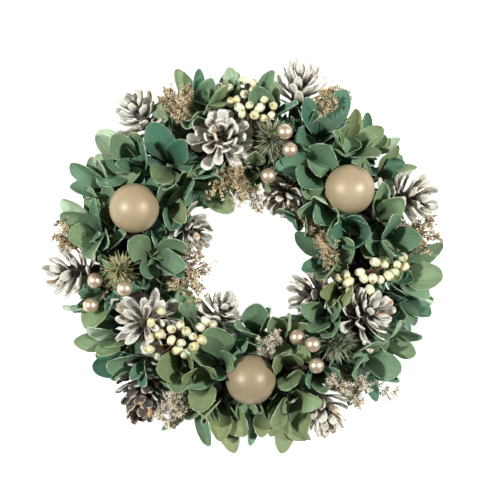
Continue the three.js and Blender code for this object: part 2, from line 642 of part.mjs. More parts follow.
// One leaf on an edge of the hub, kept inside its own wedge round the hub's axis.
function addLeaf(points, faces, frame, { tip, turn, before, after, from, to }, extra) {
  const along = tip.clone().normalize();
  const length = tip.length() + extra;
  const inward = new THREE.Vector3(-Math.cos(turn), -Math.sin(turn), 0);
  const lift = new THREE.Vector3(0, 0, 1).multiplyScalar(0.75).addScaledVector(inward, 0.65);
  const normal = lift.addScaledVector(along, -lift.dot(along)).normalize();
  const across = new THREE.Vector3().crossVectors(normal, along);
  const half = LEAF_THICKNESS / 2 + extra;
  const scale = Math.min(1, tip.length() / LEAF_LENGTH);
  const spot = (t, side, wide) => {
    const cup = LEAF_CUP * wide * side * side;
    const rise = LEAF_BOW * 4 * t * (1 - t) + cup * scale;
    const p = along.clone().multiplyScalar(length * t);
    return p.addScaledVector(normal, rise).addScaledVector(across, side * wide);
  };
  // Each leaf stays in the sector between its neighbours: narrower near the hub, or moved out from the axis.
  const bisector = new THREE.Vector3(Math.cos(turn), Math.sin(turn), 0);
  const most = (LEAF_WIDTH / 2) * scale;
  const edgeAt = ({ edge, wide }, side, limit) => {
    const p = spot(edge, side, 1);
    const out = p.dot(bisector) + half * normal.dot(bisector);
    const room = Math.tan(limit * 0.95);
    const width = THREE.MathUtils.clamp(out * room, most * wide * 0.3, most * wide);
    const push = Math.max(0, width / room - out, 1.3 - out);
    return p.addScaledVector(across, side * (width + extra - 1)).addScaledVector(bisector, push);
  };
  const middleAt = ({ mid }) => {
    const p = spot(mid, 0, 0);
    const out = p.dot(bisector) + half * normal.dot(bisector);
    return p.addScaledVector(bisector, Math.max(0, 1.3 - out));
  };
  const spots = LEAF_ROWS.flatMap((row) => [edgeAt(row, -1, before), middleAt(row), edgeAt(row, 1, after)]);
  const sheet = (shift) => {
    const moved = spots.map((p) => p.clone().addScaledVector(normal, shift).applyMatrix4(frame));
    return moved.map((p) => points.push(p) - 1);
  };
  const [a, b, c, d, e, f] = sheet(half);
  const [g, h, i, j, k, l] = sheet(-half);
  faces.push([from.top, a, b], [from.top, b, to.top], [to.top, b, c]);
  faces.push([a, d, b], [b, d, e], [b, f, c], [b, e, f]);
  faces.push([from.low, h, g], [from.low, to.low, h], [to.low, i, h]);
  faces.push([g, h, j], [h, k, j], [h, i, l], [h, l, k]);
  const rim = [[from.top, from.low], [a, g], [d, j], [e, k], [f, l], [c, i], [to.top, to.low]];
  for (let n = 0; n < rim.length - 1; n += 1) {
    const [u, v] = rim[n];
    const [w, x] = rim[n + 1];
    faces.push([u, x, w], [u, v, x]);
  }
}

// Each cup is rooted in the ring. Cups that share a node are tied by a branch from hub to hub.
function leafPiece([name, cups]) {
  const hubs = cups.map(([hub]) => at(hub));
  const made = (extra) => {
    const bodies = cups.map((cup, i) => cupSolid(cup, tubeBelow(hubs[i]).lerp(hubs[i], 0.3), extra));
    for (let i = 1; i < hubs.length; i += 1) {
      const drop = (hub) => hub.clone().lerp(tubeBelow(hub), 0.1);
      bodies.push(twig(drop(hubs[i - 1]), drop(hubs[i]), 1.2 + extra, 1.2 + extra));
    }
    return join(bodies);
  };
  const solid = made(0);
  return { name, material: "leaf", solid, blocker: made(GAP + 0.1).add(solid) };
}

// materials
const LOOKS = {
  vine: { color: 0x4a362b, roughness: 0.9, metalness: 0 },
  cone: { color: 0xb0a394, roughness: 0.85, metalness: 0 },
  ball: { color: 0xb5a37a, roughness: 0.42, metalness: 0.25 },
  pearl: { color: 0xc29c84, roughness: 0.25, metalness: 0.2 },
  berry: { color: 0xe8e6c6, roughness: 0.5, metalness: 0 },
  fir: { color: 0x55683f, roughness: 0.8, metalness: 0 },
  dried: { color: 0xb39468, roughness: 0.85, metalness: 0 },
  leaf: { color: 0x6b9a74, roughness: 0.6, metalness: 0 },
};

function boxOf(solid) {
  const mesh = solid.getMesh();
  const box = new THREE.Box3();
  for (let i = 0; i < mesh.vertProperties.length; i += mesh.numProp) {
    box.expandByPoint(new THREE.Vector3().fromArray(mesh.vertProperties, i));
  }
  return box;
}

// Each piece is cut clear of those placed before it, and keeps its biggest body.
function assemble(pieces) {
  const placedBefore = [];
  return pieces.map((piece) => {
    const box = boxOf(piece.solid);
    const near = placedBefore.filter((other) => other.box.intersectsBox(box));
    const cut = near.reduce((left, other) => left.subtract(other.blocker), piece.solid);
    if (piece.blocker) placedBefore.push({ blocker: piece.blocker, box: boxOf(piece.blocker) });
    return { ...piece, geometry: biggestBody(cut) };
  });
}

function meshOf({ name, material, geometry }) {
  geometry.computeVertexNormals();
  const mesh = new THREE.Mesh(geometry, new THREE.MeshStandardMaterial(LOOKS[material]));
  mesh.name = name;
  return mesh;
}

const floor = underside();
const ringCut = ringSolid(0).subtract(floor);
const ring = { name: "vine_ring", material: "vine", solid: ringCut, blocker: ringSolid(GAP) };
const rows = [
  ring,
  ...BALLS.map(ballPiece),
  ...CONES.map(conePiece),
  ...PEARL_PICKS.map(pearlPiece),
  ...BERRY_SPRAYS.map(berryPiece),
  ...FIR_HEADS.map(firPiece),
  ...LEAF_CUPS.map(leafPiece),
  ...DRIED_SPRAYS.map(driedPiece),
];

const wreath = new THREE.Group();
wreath.name = "pinecone_wreath";
for (const piece of assemble(rows)) wreath.add(meshOf(piece));

// The origin lies on the surface, below the middle of the outline.
const outline = new THREE.Box3().setFromObject(wreath);
const middle = outline.getCenter(new THREE.Vector3());
for (const mesh of wreath.children) mesh.geometry.translate(-middle.x, -middle.y, -outline.min.z);

export default wreath;
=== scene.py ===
"""Pinecone wreath: its finer pieces, their materials, the light and the camera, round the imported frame."""
import math
import random

import bpy
from mathutils import Matrix, Vector, noise


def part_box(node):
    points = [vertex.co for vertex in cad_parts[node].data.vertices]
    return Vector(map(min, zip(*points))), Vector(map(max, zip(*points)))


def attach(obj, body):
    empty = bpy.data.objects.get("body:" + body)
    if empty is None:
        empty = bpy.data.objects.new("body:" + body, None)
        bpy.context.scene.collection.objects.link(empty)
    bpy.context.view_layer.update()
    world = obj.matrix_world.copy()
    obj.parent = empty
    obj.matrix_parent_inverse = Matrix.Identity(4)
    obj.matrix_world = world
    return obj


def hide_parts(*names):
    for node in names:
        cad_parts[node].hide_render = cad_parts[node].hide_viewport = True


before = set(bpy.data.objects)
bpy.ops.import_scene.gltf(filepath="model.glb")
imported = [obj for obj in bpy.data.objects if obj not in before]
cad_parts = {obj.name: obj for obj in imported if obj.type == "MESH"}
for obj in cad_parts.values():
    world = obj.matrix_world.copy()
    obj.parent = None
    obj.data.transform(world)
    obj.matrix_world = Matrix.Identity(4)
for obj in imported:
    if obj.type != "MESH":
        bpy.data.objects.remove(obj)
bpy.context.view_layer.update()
LOW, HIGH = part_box("vine_ring")
RING_X = (LOW[0] + HIGH[0]) / 2
RING_Y = (LOW[1] + HIGH[1]) / 2

# The camera: its place from the ring's middle in metres, and its lens and sensor in millimetres.
EYE_X = 0.0024
EYE_Y = 0.0056
EYE_HEIGHT = 1.25
LENS = 108
SENSOR = 36
NEAREST = 0.01


def added(name, data):
    """A new object in the scene."""
    thing = bpy.data.objects.new(name, data)
    bpy.context.scene.collection.objects.link(thing)
    return thing


def camera():
    """Straight down on the wreath, as the photograph looks at it."""
    data = bpy.data.cameras.new("camera")
    data.lens = LENS
    data.sensor_width = SENSOR
    data.clip_start = NEAREST
    eye = added("camera", data)
    eye.location = (RING_X + EYE_X, RING_Y + EYE_Y, EYE_HEIGHT)
    bpy.context.scene.camera = eye


camera()

# All shapes below are in millimetres round the ring's axis, on the surface the wreath lies on.
MM_PER_M = 1000
RING_RADIUS = 98
TUBE_RADIUS = 18
TUBE_HEIGHT = 13.5
ROOT_REACH = 12.0  # from the middle of the ring's tube to the end of a stem in it
BALL_RADIUS = 20
PEARL_RADIUS = 6.2
LEAF_LENGTH = 32  # from its cup's hub to its tip, where its row gives no rise
FILLER_WIDTH = 19  # the widest leaf that a rule adds
LEAF_RISE = 27  # the most that such a leaf rises
OUTER_RISE = 10  # the same where its tip lies beyond the outer radius
OUTER_RADIUS = RING_RADIUS + 40
LOWEST = 0.15  # nothing lies lower
BEND_FROM = 3.0  # below this height, leaves and scales bend to lie on the surface
GOLDEN = math.radians(137.508)
UP = Vector((0, 0, 1))
DRAW = random.Random(1605)


def between(low, high):
    return DRAW.uniform(low, high)


def scatter(reach, low, high=None):
    """A shift by chance to the sides, with a set height or one between two."""
    x = between(-reach, reach)
    y = between(-reach, reach)
    return Vector((x, y, low if high is None else between(low, high)))


def smooth(low, high, value):
    t = min(1, max(0, (value - low) / (high - low)))
    return t * t * (3 - 2 * t)


def circled(radius, turn, height=0.0):
    """A point at a radius and an angle round the z axis."""
    return Vector((radius * math.cos(turn), radius * math.sin(turn), height))


def arc(start, middle, end, steps):
    """A path that bends towards a middle point."""
    shares = [k / steps for k in range(steps + 1)]
    return [start.lerp(middle, t) * (1 - t) + middle.lerp(end, t) * t for t in shares]


# Meshes.
class Body:
    """Points with a tone that the materials read, and faces with the number of their material."""

    def __init__(self):
        self.points = []
        self.faces = []
        self.tones = []
        self.looks = []

    def point(self, place, tone):
        self.points.append(place)
        self.tones.append(tone)
        return len(self.points) - 1

    def face(self, *corners, look=0):
        self.faces.append(corners)
        self.looks.append(look)

    def settle(self):
        """Bends what would sink below the surface to lie just over it, its top still above its underside."""
        span = BEND_FROM - LOWEST
        for i, place in enumerate(self.points):
            if place[2] < BEND_FROM:
                height = LOWEST + span * math.exp((place[2] - BEND_FROM) / span)
                self.points[i] = Vector((place[0], place[1], height))


def make(body, node, ending, looks, sharp):
    """The piece that stands for a node, in metres, with its materials."""
    name = f"{node}_{ending}"
    mesh = bpy.data.meshes.new(name)
    shift = Vector((RING_X, RING_Y, 0))
    points = [Vector((p[0], p[1], max(p[2], LOWEST))) for p in body.points]
    mesh.from_pydata([p / MM_PER_M + shift for p in points], [], body.faces)
    tone = mesh.attributes.new("tone", "FLOAT_COLOR", "POINT")
    tone.data.foreach_set("color", [c for t in body.tones for c in (*t, 1.0)])
    for look in looks:
        mesh.materials.append(look)
    mesh.polygons.foreach_set("material_index", body.looks)
    mesh.polygons.foreach_set("use_smooth", [True] * len(mesh.polygons))
    mesh.set_sharp_from_angle(angle=math.radians(sharp))
    mesh.validate()
    mesh.update()
    piece = added(name, mesh)
    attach(piece, "root")
    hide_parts(node)


def across_frame(direction):
    """Two directions square to one and to each other."""
    side = direction.cross(UP)
    if side.length < 1e-3:
        side = direction.cross(Vector((1, 0, 0)))
    side.normalize()
    return side, direction.cross(side).normalized()


def frame_at(place, direction, twist=0.0):
    """A frame at a place with its z axis along a direction."""
    turn = UP.rotation_difference(Vector(direction).normalized())
    return Matrix.Translation(Vector(place)) @ turn.to_matrix().to_4x4() @ Matrix.Rotation(twist, 4, "Z")


def section(body, place, side, other, radius, sides, tone):
    """The points of one round section of a stem."""
    ring = []
    for k in range(sides):
        turn = 2 * math.pi * k / sides
        ring.append(body.point(place + (side * math.cos(turn) + other * math.sin(turn)) * radius, tone))
    return ring


def tube(body, path, radii, sides, tone=(0, 0, 0), look=0, tones=None):
    """A closed stem along a path, with a radius at each of its points."""
    rings = []
    side = None
    for i, place in enumerate(path):
        ahead = path[min(i + 1, len(path) - 1)] - path[max(i - 1, 0)]
        ahead.normalize()
        if side is None:
            side, other = across_frame(ahead)
        else:
            side = (side - ahead * side.dot(ahead)).normalized()
            other = ahead.cross(side)
        rings.append(section(body, place, side, other, radii[i], sides, tones[i] if tones else tone))
    for a, b in zip(rings, rings[1:]):
        for k in range(sides):
            j = (k + 1) % sides
            body.face(a[k], a[j], b[j], b[k], look=look)
    body.face(*rings[0][::-1], look=look)
    body.face(*rings[-1], look=look)


def loop(body, path, radii, sides, tone):
    """A stem that closes to a ring."""
    rings = []
    count = len(path)
    for i, place in enumerate(path):
        ahead = (path[(i + 1) % count] - path[i - 1]).normalized()
        side = ahead.cross(UP).normalized()
        rings.append(section(body, place, side, side.cross(ahead), radii[i], sides, tone))
    for a, b in zip(rings, rings[1:] + rings[:1]):
        for k in range(sides):
            j = (k + 1) % sides
            body.face(a[k], b[k], b[j], a[j])


def turned(body, matrix, profile, sides, tone_of):
    """A turned form: profile is radius and height, with its ends on the axis."""
    rings = []
    for radius, height in profile:
        ring = []
        for k in range(sides if radius else 1):
            turn = 2 * math.pi * k / sides
            local = circled(radius, turn, height)
            ring.append(body.point(matrix @ local, tone_of(local, turn)))
        rings.append(ring)
    for a, b in zip(rings, rings[1:]):
        for k in range(sides):
            j = (k + 1) % sides
            if len(a) == 1:
                body.face(a[0], b[j], b[k])
            elif len(b) == 1:
                body.face(a[k], a[j], b[0])
            else:
                body.face(a[k], a[j], b[j], b[k])


def round_profile(wide, tall, steps, power=1):
    turns = [math.pi * i / steps for i in range(1, steps)]
    side = [(wide * math.sin(t) ** power, -tall * math.cos(t)) for t in turns]
    return [(0, -tall), *side, (0, tall)]


def blade(body, grid, tones, thickness):
    """A closed thin sheet round a grid of points."""
    rows = len(grid)
    columns = len(grid[0])
    top = []
    low = []
    for i in range(rows):
        for j in range(columns):
            along = grid[min(i + 1, rows - 1)][j] - grid[max(i - 1, 0)][j]
            side = grid[i][min(j + 1, columns - 1)] - grid[i][max(j - 1, 0)]
            normal = along.cross(side)
            normal = normal.normalized() if normal.length > 1e-9 else UP
            half = thickness(i, j) / 2
            top.append(body.point(grid[i][j] + normal * half, tones[i][j]))
            low.append(body.point(grid[i][j] - normal * half, tones[i][j]))
    for i in range(rows - 1):
        for j in range(columns - 1):
            a = i * columns + j
            b, c, d = a + 1, a + columns, a + columns + 1
            body.face(top[a], top[c], top[d], top[b])
            body.face(low[a], low[b], low[d], low[c])
    edge = list(range(columns))
    edge += [i * columns + columns - 1 for i in range(1, rows)]
    edge += [(rows - 1) * columns + j for j in range(columns - 2, -1, -1)]
    edge += [i * columns for i in range(rows - 2, 0, -1)]
    for a, b in zip(edge, edge[1:] + edge[:1]):
        body.face(top[a], top[b], low[b], low[a])


# Materials. Colours are given as a screen shows them, from 0 to 255.
SPECULAR = "Specular IOR Level"
FLOOR_GLOW = 0.94


def linear(colour):
    """A screen colour as the shader reads it."""
    return [((c / 255 + 0.055) / 1.055) ** 2.4 if c > 10 else c / 255 / 12.92 for c in colour]


class Look:
    """A material in the making. It reads a mesh's tone as along, edge and own."""

    def __init__(self, name):
        self.material = bpy.data.materials.new(name)
        self.material.use_nodes = True
        self.tree = self.material.node_tree
        self.shader = self.tree.nodes["Principled BSDF"]
        self.coordinates = self.node("ShaderNodeTexCoord").outputs["Object"]
        tone = self.node("ShaderNodeAttribute")
        tone.attribute_name = "tone"
        split = self.node("ShaderNodeSeparateColor")
        self.link(tone.outputs["Color"], split.inputs[0])
        self.along, self.edge, self.own = split.outputs

    def node(self, kind, **inputs):
        n = self.tree.nodes.new(kind)
        for name, value in inputs.items():
            self.put(value, n.inputs[name])
        return n

    def link(self, a, b):
        self.tree.links.new(a, b)

    def put(self, value, socket):
        if hasattr(value, "is_linked"):
            self.link(value, socket)
        elif isinstance(value, tuple):
            socket.default_value = (*linear(value), 1.0)
        else:
            socket.default_value = value

    def noise(self, scale, detail, rough=0.55, vector=None):
        vector = vector or self.coordinates
        n = self.node("ShaderNodeTexNoise", Vector=vector, Scale=scale, Detail=detail, Roughness=rough)
        return n.outputs[0]

    def fibre(self, across, along, scale, detail, rough):
        """Noise drawn out along a blade, another on each blade."""
        spot = self.node("ShaderNodeCombineXYZ")
        for i, (value, stretch) in enumerate(((self.edge, across), (self.along, along), (self.own, 60.0))):
            self.link(self.times(value, stretch), spot.inputs[i])
        return self.noise(scale, detail, rough, spot.outputs[0])

    def cells(self, scale):
        n = self.node("ShaderNodeTexVoronoi", Vector=self.coordinates, Scale=scale)
        return n.outputs["Distance"]

    def ramp(self, value, *stops):
        """Stops are a place and a colour or a grey from 0 to 1."""
        n = self.node("ShaderNodeValToRGB")
        while len(n.color_ramp.elements) < len(stops):
            n.color_ramp.elements.new(0.5)
        for element, (spot, colour) in zip(n.color_ramp.elements, stops):
            element.position = spot
            shown = linear(colour) if isinstance(colour, tuple) else [colour] * 3
            element.color = (*shown, 1)
        self.link(value, n.inputs[0])
        return n.outputs[0]

    def fade(self, value, low, high, top=1.0):
        """From nothing at the low value to the top at the high one."""
        return self.ramp(value, (low, 0.0), (high, top))

    def mix(self, share, a, b):
        n = self.node("ShaderNodeMix")
        n.data_type = "RGBA"  # its colours are inputs 6 and 7 and output 2
        self.put(share, n.inputs[0])
        self.put(a, n.inputs[6])
        self.put(b, n.inputs[7])
        return n.outputs[2]

    def calc(self, kind, a, b=0.0):
        n = self.node("ShaderNodeMath")
        n.operation = kind
        self.put(a, n.inputs[0])
        self.put(b, n.inputs[1])
        return n.outputs[0]

    def plus(self, a, b):
        return self.calc("ADD", a, b)

    def times(self, a, b):
        return self.calc("MULTIPLY", a, b)

    def bump(self, height, strength, distance):
        n = self.node("ShaderNodeBump", Height=height, Strength=strength, Distance=distance)
        self.link(n.outputs[0], self.shader.inputs["Normal"])

    def finish(self, colour, roughness, more=None):
        values = {"Base Color": colour, "Roughness": roughness, **(more or {})}
        for name, value in values.items():
            self.put(value, self.shader.inputs[name])
        return self.material


def leaf_look():
    k = Look("leaf")
    hue = k.ramp(k.own, (0.0, (58, 110, 90)), (0.25, (99, 139, 112)), (0.5, (126, 150, 110)),
                 (0.72, (128, 138, 90)), (0.88, (182, 206, 174)), (1.0, (208, 226, 202)))
    grain = k.fibre(9.0, 1.1, 3.0, 4, 0.65)
    patch = k.noise(70, 4, 0.6)
    colour = k.mix(k.fade(patch, 0.38, 0.7, 0.4), hue, (112, 120, 78))
    colour = k.mix(k.fade(grain, 0.42, 0.72, 0.55), colour, (62, 84, 62))
    colour = k.mix(k.fade(k.noise(1500, 3, 0.7), 0.55, 0.75, 0.35), colour, (54, 74, 54))
    # Darker towards each leaf's root, deep in its cup and under the leaves over it: painted shade.
    colour = k.mix(k.ramp(k.along, (0.0, 0.95), (0.35, 0.45), (0.65, 0.0)), colour, (20, 32, 22))
    rim = k.fade(k.calc("ABSOLUTE", k.calc("SUBTRACT", k.edge, 0.5)), 0.476, 0.498)
    tip = k.fade(k.along, 0.99, 0.998)
    worn = k.times(k.calc("MAXIMUM", rim, tip), k.fade(k.noise(200, 3), 0.44, 0.62, 0.85))
    colour = k.mix(worn, colour, (188, 200, 174))
    specks = k.ramp(k.cells(520), (0.05, 1.0), (0.08, 0.0))
    frost = k.times(specks, k.fade(k.noise(90, 1), 0.6, 0.64))
    colour = k.mix(k.times(frost, 0.7), colour, (236, 240, 230))
    k.bump(k.plus(grain, k.times(k.noise(300, 3), 1.2)), 0.4, 0.0006)
    return k.finish(colour, k.ramp(patch, (0.3, 0.5), (0.7, 0.68)), {SPECULAR: 0.35})


def cone_look():
    k = Look("pinecone_scale")
    wood = k.mix(k.noise(260, 4), (36, 34, 32), (92, 87, 80))
    streak = k.fibre(5.0, 1.4, 2.6, 6, 0.72)
    fleck = k.noise(620, 5, 0.7)
    rim = k.times(k.calc("POWER", k.edge, 2.0), 0.42)
    uneven = k.plus(k.calc("SUBTRACT", streak, 0.5), k.calc("SUBTRACT", fleck, 0.5))
    dust = k.ramp(k.plus(k.plus(k.along, rim), uneven), (0.4, 0.0), (0.55, 0.5), (0.8, 1.0))
    white = k.mix(k.noise(700, 3), (184, 181, 168), (246, 244, 232))
    tan = k.times(k.ramp(k.own, (0.55, 0.1), (0.85, 0.9)), k.fade(k.noise(230, 3), 0.5, 0.62))
    colour = k.mix(tan, k.mix(dust, wood, white), (190, 150, 106))
    k.bump(k.plus(streak, fleck), 0.7, 0.001)
    return k.finish(colour, 0.82, {SPECULAR: 0.25})


def ball_look():
    k = Look("ball_paint")
    soft = k.noise(45, 2)
    # A darker and a lighter copy of the one paint; each ball's lightness picks between them, so the bottom
    # ball is painted darker: painted shade.
    dark = k.mix(soft, (138, 122, 94), (152, 136, 106))
    light = k.mix(soft, (158, 140, 109), (170, 153, 121))
    spark = k.ramp(k.cells(420), (0.0, 1.0), (0.07, 1.0), (0.09, 0.0))
    rare = k.fade(k.noise(260, 1), 0.66, 0.7)
    colour = k.mix(k.times(spark, rare), k.mix(k.own, dark, light), (250, 246, 232))
    k.bump(k.plus(k.noise(130, 3), k.times(k.noise(900, 2), 0.25)), 0.12, 0.0009)
    return k.finish(colour, k.ramp(soft, (0.3, 0.42), (0.7, 0.5)), {"Metallic": 0.1, SPECULAR: 0.5})


def pearl_look():
    k = Look("pearl_bead")
    colour = k.mix(k.noise(180, 2), (200, 178, 152), (228, 208, 182))
    k.bump(k.noise(700, 2), 0.05, 0.0003)
    return k.finish(colour, 0.4, {"Metallic": 0.72, "Coat Weight": 0.5, "Coat Roughness": 0.28})


def wire_look():
    k = Look("wire")
    return k.finish(k.mix(k.noise(500, 3), (70, 48, 34), (112, 80, 56)), 0.7)


def berry_look():
    k = Look("wax_berry")
    colour = k.mix(k.own, (214, 204, 152), (222, 224, 200))
    colour = k.mix(k.fade(k.noise(260, 3), 0.4, 0.7, 0.6), colour, (186, 192, 162))
    ochre = k.fade(k.plus(k.edge, k.times(k.noise(500, 3), 0.4)), 0.66, 0.9)
    colour = k.mix(k.times(ochre, 0.85), colour, (150, 124, 62))
    k.bump(k.noise(600, 3), 0.2, 0.0004)
    return k.finish(colour, 0.46, {"Subsurface Weight": 0.15, "Subsurface Scale": 0.004})


def fir_look():
    k = Look("fir_needle")
    # Near the root the needles are near black, for the shade deep between them: partly their own dark green,
    # partly painted shade. Towards the tip they turn pale.
    low = k.ramp(k.own, (0.0, (17, 26, 20)), (0.6, (46, 56, 34)), (1.0, (80, 82, 44)))
    high = k.ramp(k.own, (0.0, (138, 156, 130)), (0.45, (204, 210, 182)), (0.75, (188, 182, 120)),
                  (1.0, (216, 208, 158)))
    k.bump(k.noise(900, 2), 0.3, 0.0003)
    return k.finish(k.mix(k.fade(k.along, 0.35, 0.97), low, high), 0.42)


def dried_look():
    k = Look("dried_flower")
    # The darkest stops serve the dark flowers that fill the gaps: partly their own brown, partly painted
    # shade.
    colour = k.ramp(k.own, (0.0, (66, 56, 40)), (0.3, (170, 150, 112)), (0.62, (255, 238, 198)),
                    (0.72, (196, 186, 160)), (1.0, (252, 248, 234)))
    colour = k.mix(k.fade(k.noise(900, 3), 0.5, 0.75, 0.5), colour, (120, 100, 70))
    k.bump(k.noise(1200, 2), 0.3, 0.0003)
    return k.finish(colour, 0.8)


def vine_look():
    k = Look("vine_twigs")
    stretch = k.node("ShaderNodeMapping", Vector=k.coordinates)
    stretch.inputs["Scale"].default_value = (1, 1, 3)
    bark = k.noise(240, 6, 0.7, stretch.outputs[0])
    k.bump(bark, 0.8, 0.0014)
    return k.finish(k.ramp(bark, (0.3, (26, 20, 17)), (0.55, (50, 38, 32)), (0.8, (90, 72, 60))), 0.88)


def floor_look():
    k = Look("floor")
    colour = k.mix(k.noise(14, 2), (247, 247, 247), (252, 252, 252))
    glow = {"Emission Color": colour, "Emission Strength": FLOOR_GLOW}
    return k.finish(colour, 0.9, {SPECULAR: 0.0, **glow})


LEAF = leaf_look()
CONE = cone_look()
BALL = ball_look()
PEARL = pearl_look()
WIRE = wire_look()
BERRY = berry_look()
FIR = fir_look()
DRIED = dried_look()
VINE = vine_look()


# The ring: vines wound round each other.
STRANDS = 9
STRAND_TURNS = 7  # turns of a strand round the tube on its way round the ring
STRAND_RADIUS = 4.6
STRAND_INSET = 5.4  # from the tube's side to the middle of a strand
STRAND_STEPS = 260


def vine_ring():
    body = Body()
    for s in range(STRANDS):
        phase = 2 * math.pi * s / STRANDS
        path = []
        radii = []
        for i in range(STRAND_STEPS):
            turn = 2 * math.pi * i / STRAND_STEPS
            lay = phase + STRAND_TURNS * turn
            reach = TUBE_RADIUS - STRAND_INSET + 1.2 * noise.noise(circled(3, turn, s * 5.0))
            radius = STRAND_RADIUS + 0.9 * noise.noise(circled(9, turn, s * 7.0))
            height = max(TUBE_HEIGHT + reach * math.sin(lay), radius + 0.05)
            path.append(circled(RING_RADIUS + reach * math.cos(lay), turn, height))
            radii.append(radius)
        loop(body, path, radii, 8, (0.5, 0, 0.5))
    make(body, "vine_ring", "twigs", [VINE], sharp=50)


def tube_below(place):
    """The middle of the ring's tube next to a place."""
    flat = Vector((place[0], place[1], 0)).normalized() * RING_RADIUS
    return Vector((flat.x, flat.y, TUBE_HEIGHT))


def rooted(place, reach=ROOT_REACH):
    """The point inside the ring that a stem from a place runs to."""
    place = Vector(place)
    core = tube_below(place)
    return core + (place - core).normalized() * reach


# Pinecones: number of the node, centre, direction of the tip, reach of the lowest scales, length, half width
# of a scale, number of scales, lift of the lowest and the highest scales in degrees, share of tan scales,
# whitewash, pointedness.
CONES = [
    (1, (-20, 96, 50), (0.05, 0.12, 1), 27.5, 32, 4.9, 32, -6, 68, 0.25, 1.0, 0.1),
    (2, (-87, 116, 27), (-0.5, 0.75, 0.45), 26, 42, 4.6, 32, 4, 58, 0.35, 0.95, 0.4),
    (3, (43, 138, 27), (0.15, 0.95, 0.3), 30, 40, 3.7, 34, 16, 64, 0.3, 1.0, 0.9),
    (4, (133, 47, 29), (0.8, 0.0, 0.55), 30.5, 42, 4.8, 34, 0, 60, 0.3, 0.9, 0.3),
    (5, (97, -45, 49), (0.75, 0.5, 0.85), 27.5, 36, 4.6, 30, -6, 58, 0.35, 0.95, 0.3),
    (6, (52, -30, 34), (-0.9, 0.05, 0.4), 27, 38, 4.6, 24, 8, 54, 0.3, 0.9, 0.8),
    (7, (-82, -52, 49), (-0.1, -0.05, 1), 31, 30, 4.5, 19, -4, 52, 0.25, 1.0, 0.95),
    (8, (-144, -12, 27), (-0.9, -0.05, 0.45), 28, 42, 4.6, 30, 2, 56, 0.3, 1.0, 0.85),
    (9, (-82, -109, 28), (-0.15, -0.88, 0.38), 31, 50, 5.8, 46, 6, 58, 0.5, 0.22, 0.2),
    (10, (-22, -45, 33), (0.3, 0.65, 0.7), 25, 34, 4.2, 22, 0, 56, 0.4, 0.95, 0.6),
    (11, (-44, 21, 33), (0.7, -0.35, 0.65), 22, 34, 4.0, 24, 0, 56, 0.45, 0.98, 0.4),
    (12, (30, 49, 32), (-0.35, -0.6, 0.7), 22, 36, 3.9, 30, 0, 60, 0.9, 0.8, 0.3),
    (13, (62, -124, 27), (0.3, -0.85, 0.45), 28, 44, 4.7, 32, 8, 62, 0.35, 1.0, 0.4),
]


def pinecone(number, centre, direction, radius, length, wide, count, low, high, tan, wash, point):
    """Scales on a golden spiral: wide ones that spread below, smaller steeper ones towards the tip."""
    place = frame_at(centre, direction, between(0, 6))
    body = Body()
    for i in range(count):
        share = (i + 0.5) / count
        turn = i * GOLDEN + between(-0.14, 0.14)
        rise = math.radians(low + (high - low) * share + between(-5, 5))
        blade_length = radius * (0.98 - 0.34 * share) * between(0.88, 1.06)
        root = 0.1 * radius * (1 - 0.6 * share)
        foot = length * (-0.42 + 0.6 * share)
        reach = root + blade_length * math.cos(rise)
        head = min(foot + blade_length * math.sin(rise), 0.6 * length)
        width = wide * (1.08 - 0.36 * share) * between(0.84, 1.14)
        scale_blade(body, place, turn, (root, foot), (reach, head), width, tan, wash, point)
    core = [(0, -0.46 * length)]
    for t in [k / 8 for k in range(9)]:
        core.append((0.2 * radius * math.sin(math.pi * (0.15 + 0.78 * t)), length * (-0.46 + 0.76 * t)))
    core.append((0, 0.32 * length))
    turned(body, place, core, 12, lambda p, t: (0.0, 0, 0.3))
    base = place @ Vector((0, 0, -0.42 * length))
    end = rooted(base, 10)
    radii = [0.2 * radius, 0.13 * radius, 0.08 * radius]
    tube(body, [base, (base + end) / 2, end], radii, 10, (0.0, 0, 0.2))
    body.settle()
    make(body, f"pinecone_{number:02d}", "scales", [CONE], sharp=60)


# A scale from root to tip: stations, half width if round and if pointed, thickness, and stations across.
SCALE_T = (0, 0.15, 0.32, 0.5, 0.66, 0.78, 0.87, 0.94, 0.98, 1.0)
SCALE_ROUND = (0.34, 0.4, 0.52, 0.7, 0.88, 0.98, 0.96, 0.8, 0.58, 0.34)
SCALE_POINTED = (0.34, 0.48, 0.7, 0.92, 1.0, 0.94, 0.76, 0.5, 0.3, 0.1)
SCALE_THICK = (0.9, 0.8, 0.8, 0.9, 1.1, 1.4, 1.7, 1.8, 1.5, 0.8)
SCALE_S = (-1, -0.9, -0.6, -0.3, 0, 0.3, 0.6, 0.9, 1)


def scale_blade(body, place, turn, root, tip, width, tan, wash, point):
    """One woody scale: a narrow root that widens to a thick lip, round or pointed, with a raised middle."""
    own = 1.0 if DRAW.random() < tan * 0.5 else between(0, 0.5)
    out = circled(1, turn)
    side = Vector((-out.y, out.x, 0))
    along = out * (tip[0] - root[0]) + UP * (tip[1] - root[1])
    normal = side.cross(along).normalized()
    if normal.z < 0 or (normal.z < 0.2 and normal.dot(out) > 0):
        normal = -normal
    start = out * root[0] + UP * root[1]
    lip = between(0.4, 2.2)
    hollow = between(0.16, 0.34)
    twist = between(-0.3, 0.3)
    crease = between(0.3, 1.1)
    sway = between(-0.12, 0.12) * along.length
    grid = []
    tones = []
    for t, blunt, sharp in zip(SCALE_T, SCALE_ROUND, SCALE_POINTED):
        spread = blunt + (sharp - blunt) * point
        line = []
        for s in SCALE_S:
            across = s * width * spread + sway * t * t
            lift = -1.6 * math.sin(math.pi * t) + lip * smooth(0.7, 1, t) + hollow * s * s * width * spread
            ridge = crease * (1 - abs(s)) * smooth(0.6, 0.86, t) * smooth(1.02, 0.9, t)
            lift += ridge + twist * s * width * t
            line.append(place @ (start + along * t + side * across + normal * lift))
        grid.append(line)
        tones.append([(t ** 1.35 * wash, abs(s), own) for s in SCALE_S])
    rims = (0, len(SCALE_S) - 1)
    blade(body, grid, tones, lambda i, j: SCALE_THICK[i] * (0.5 if j in rims else 1.0))
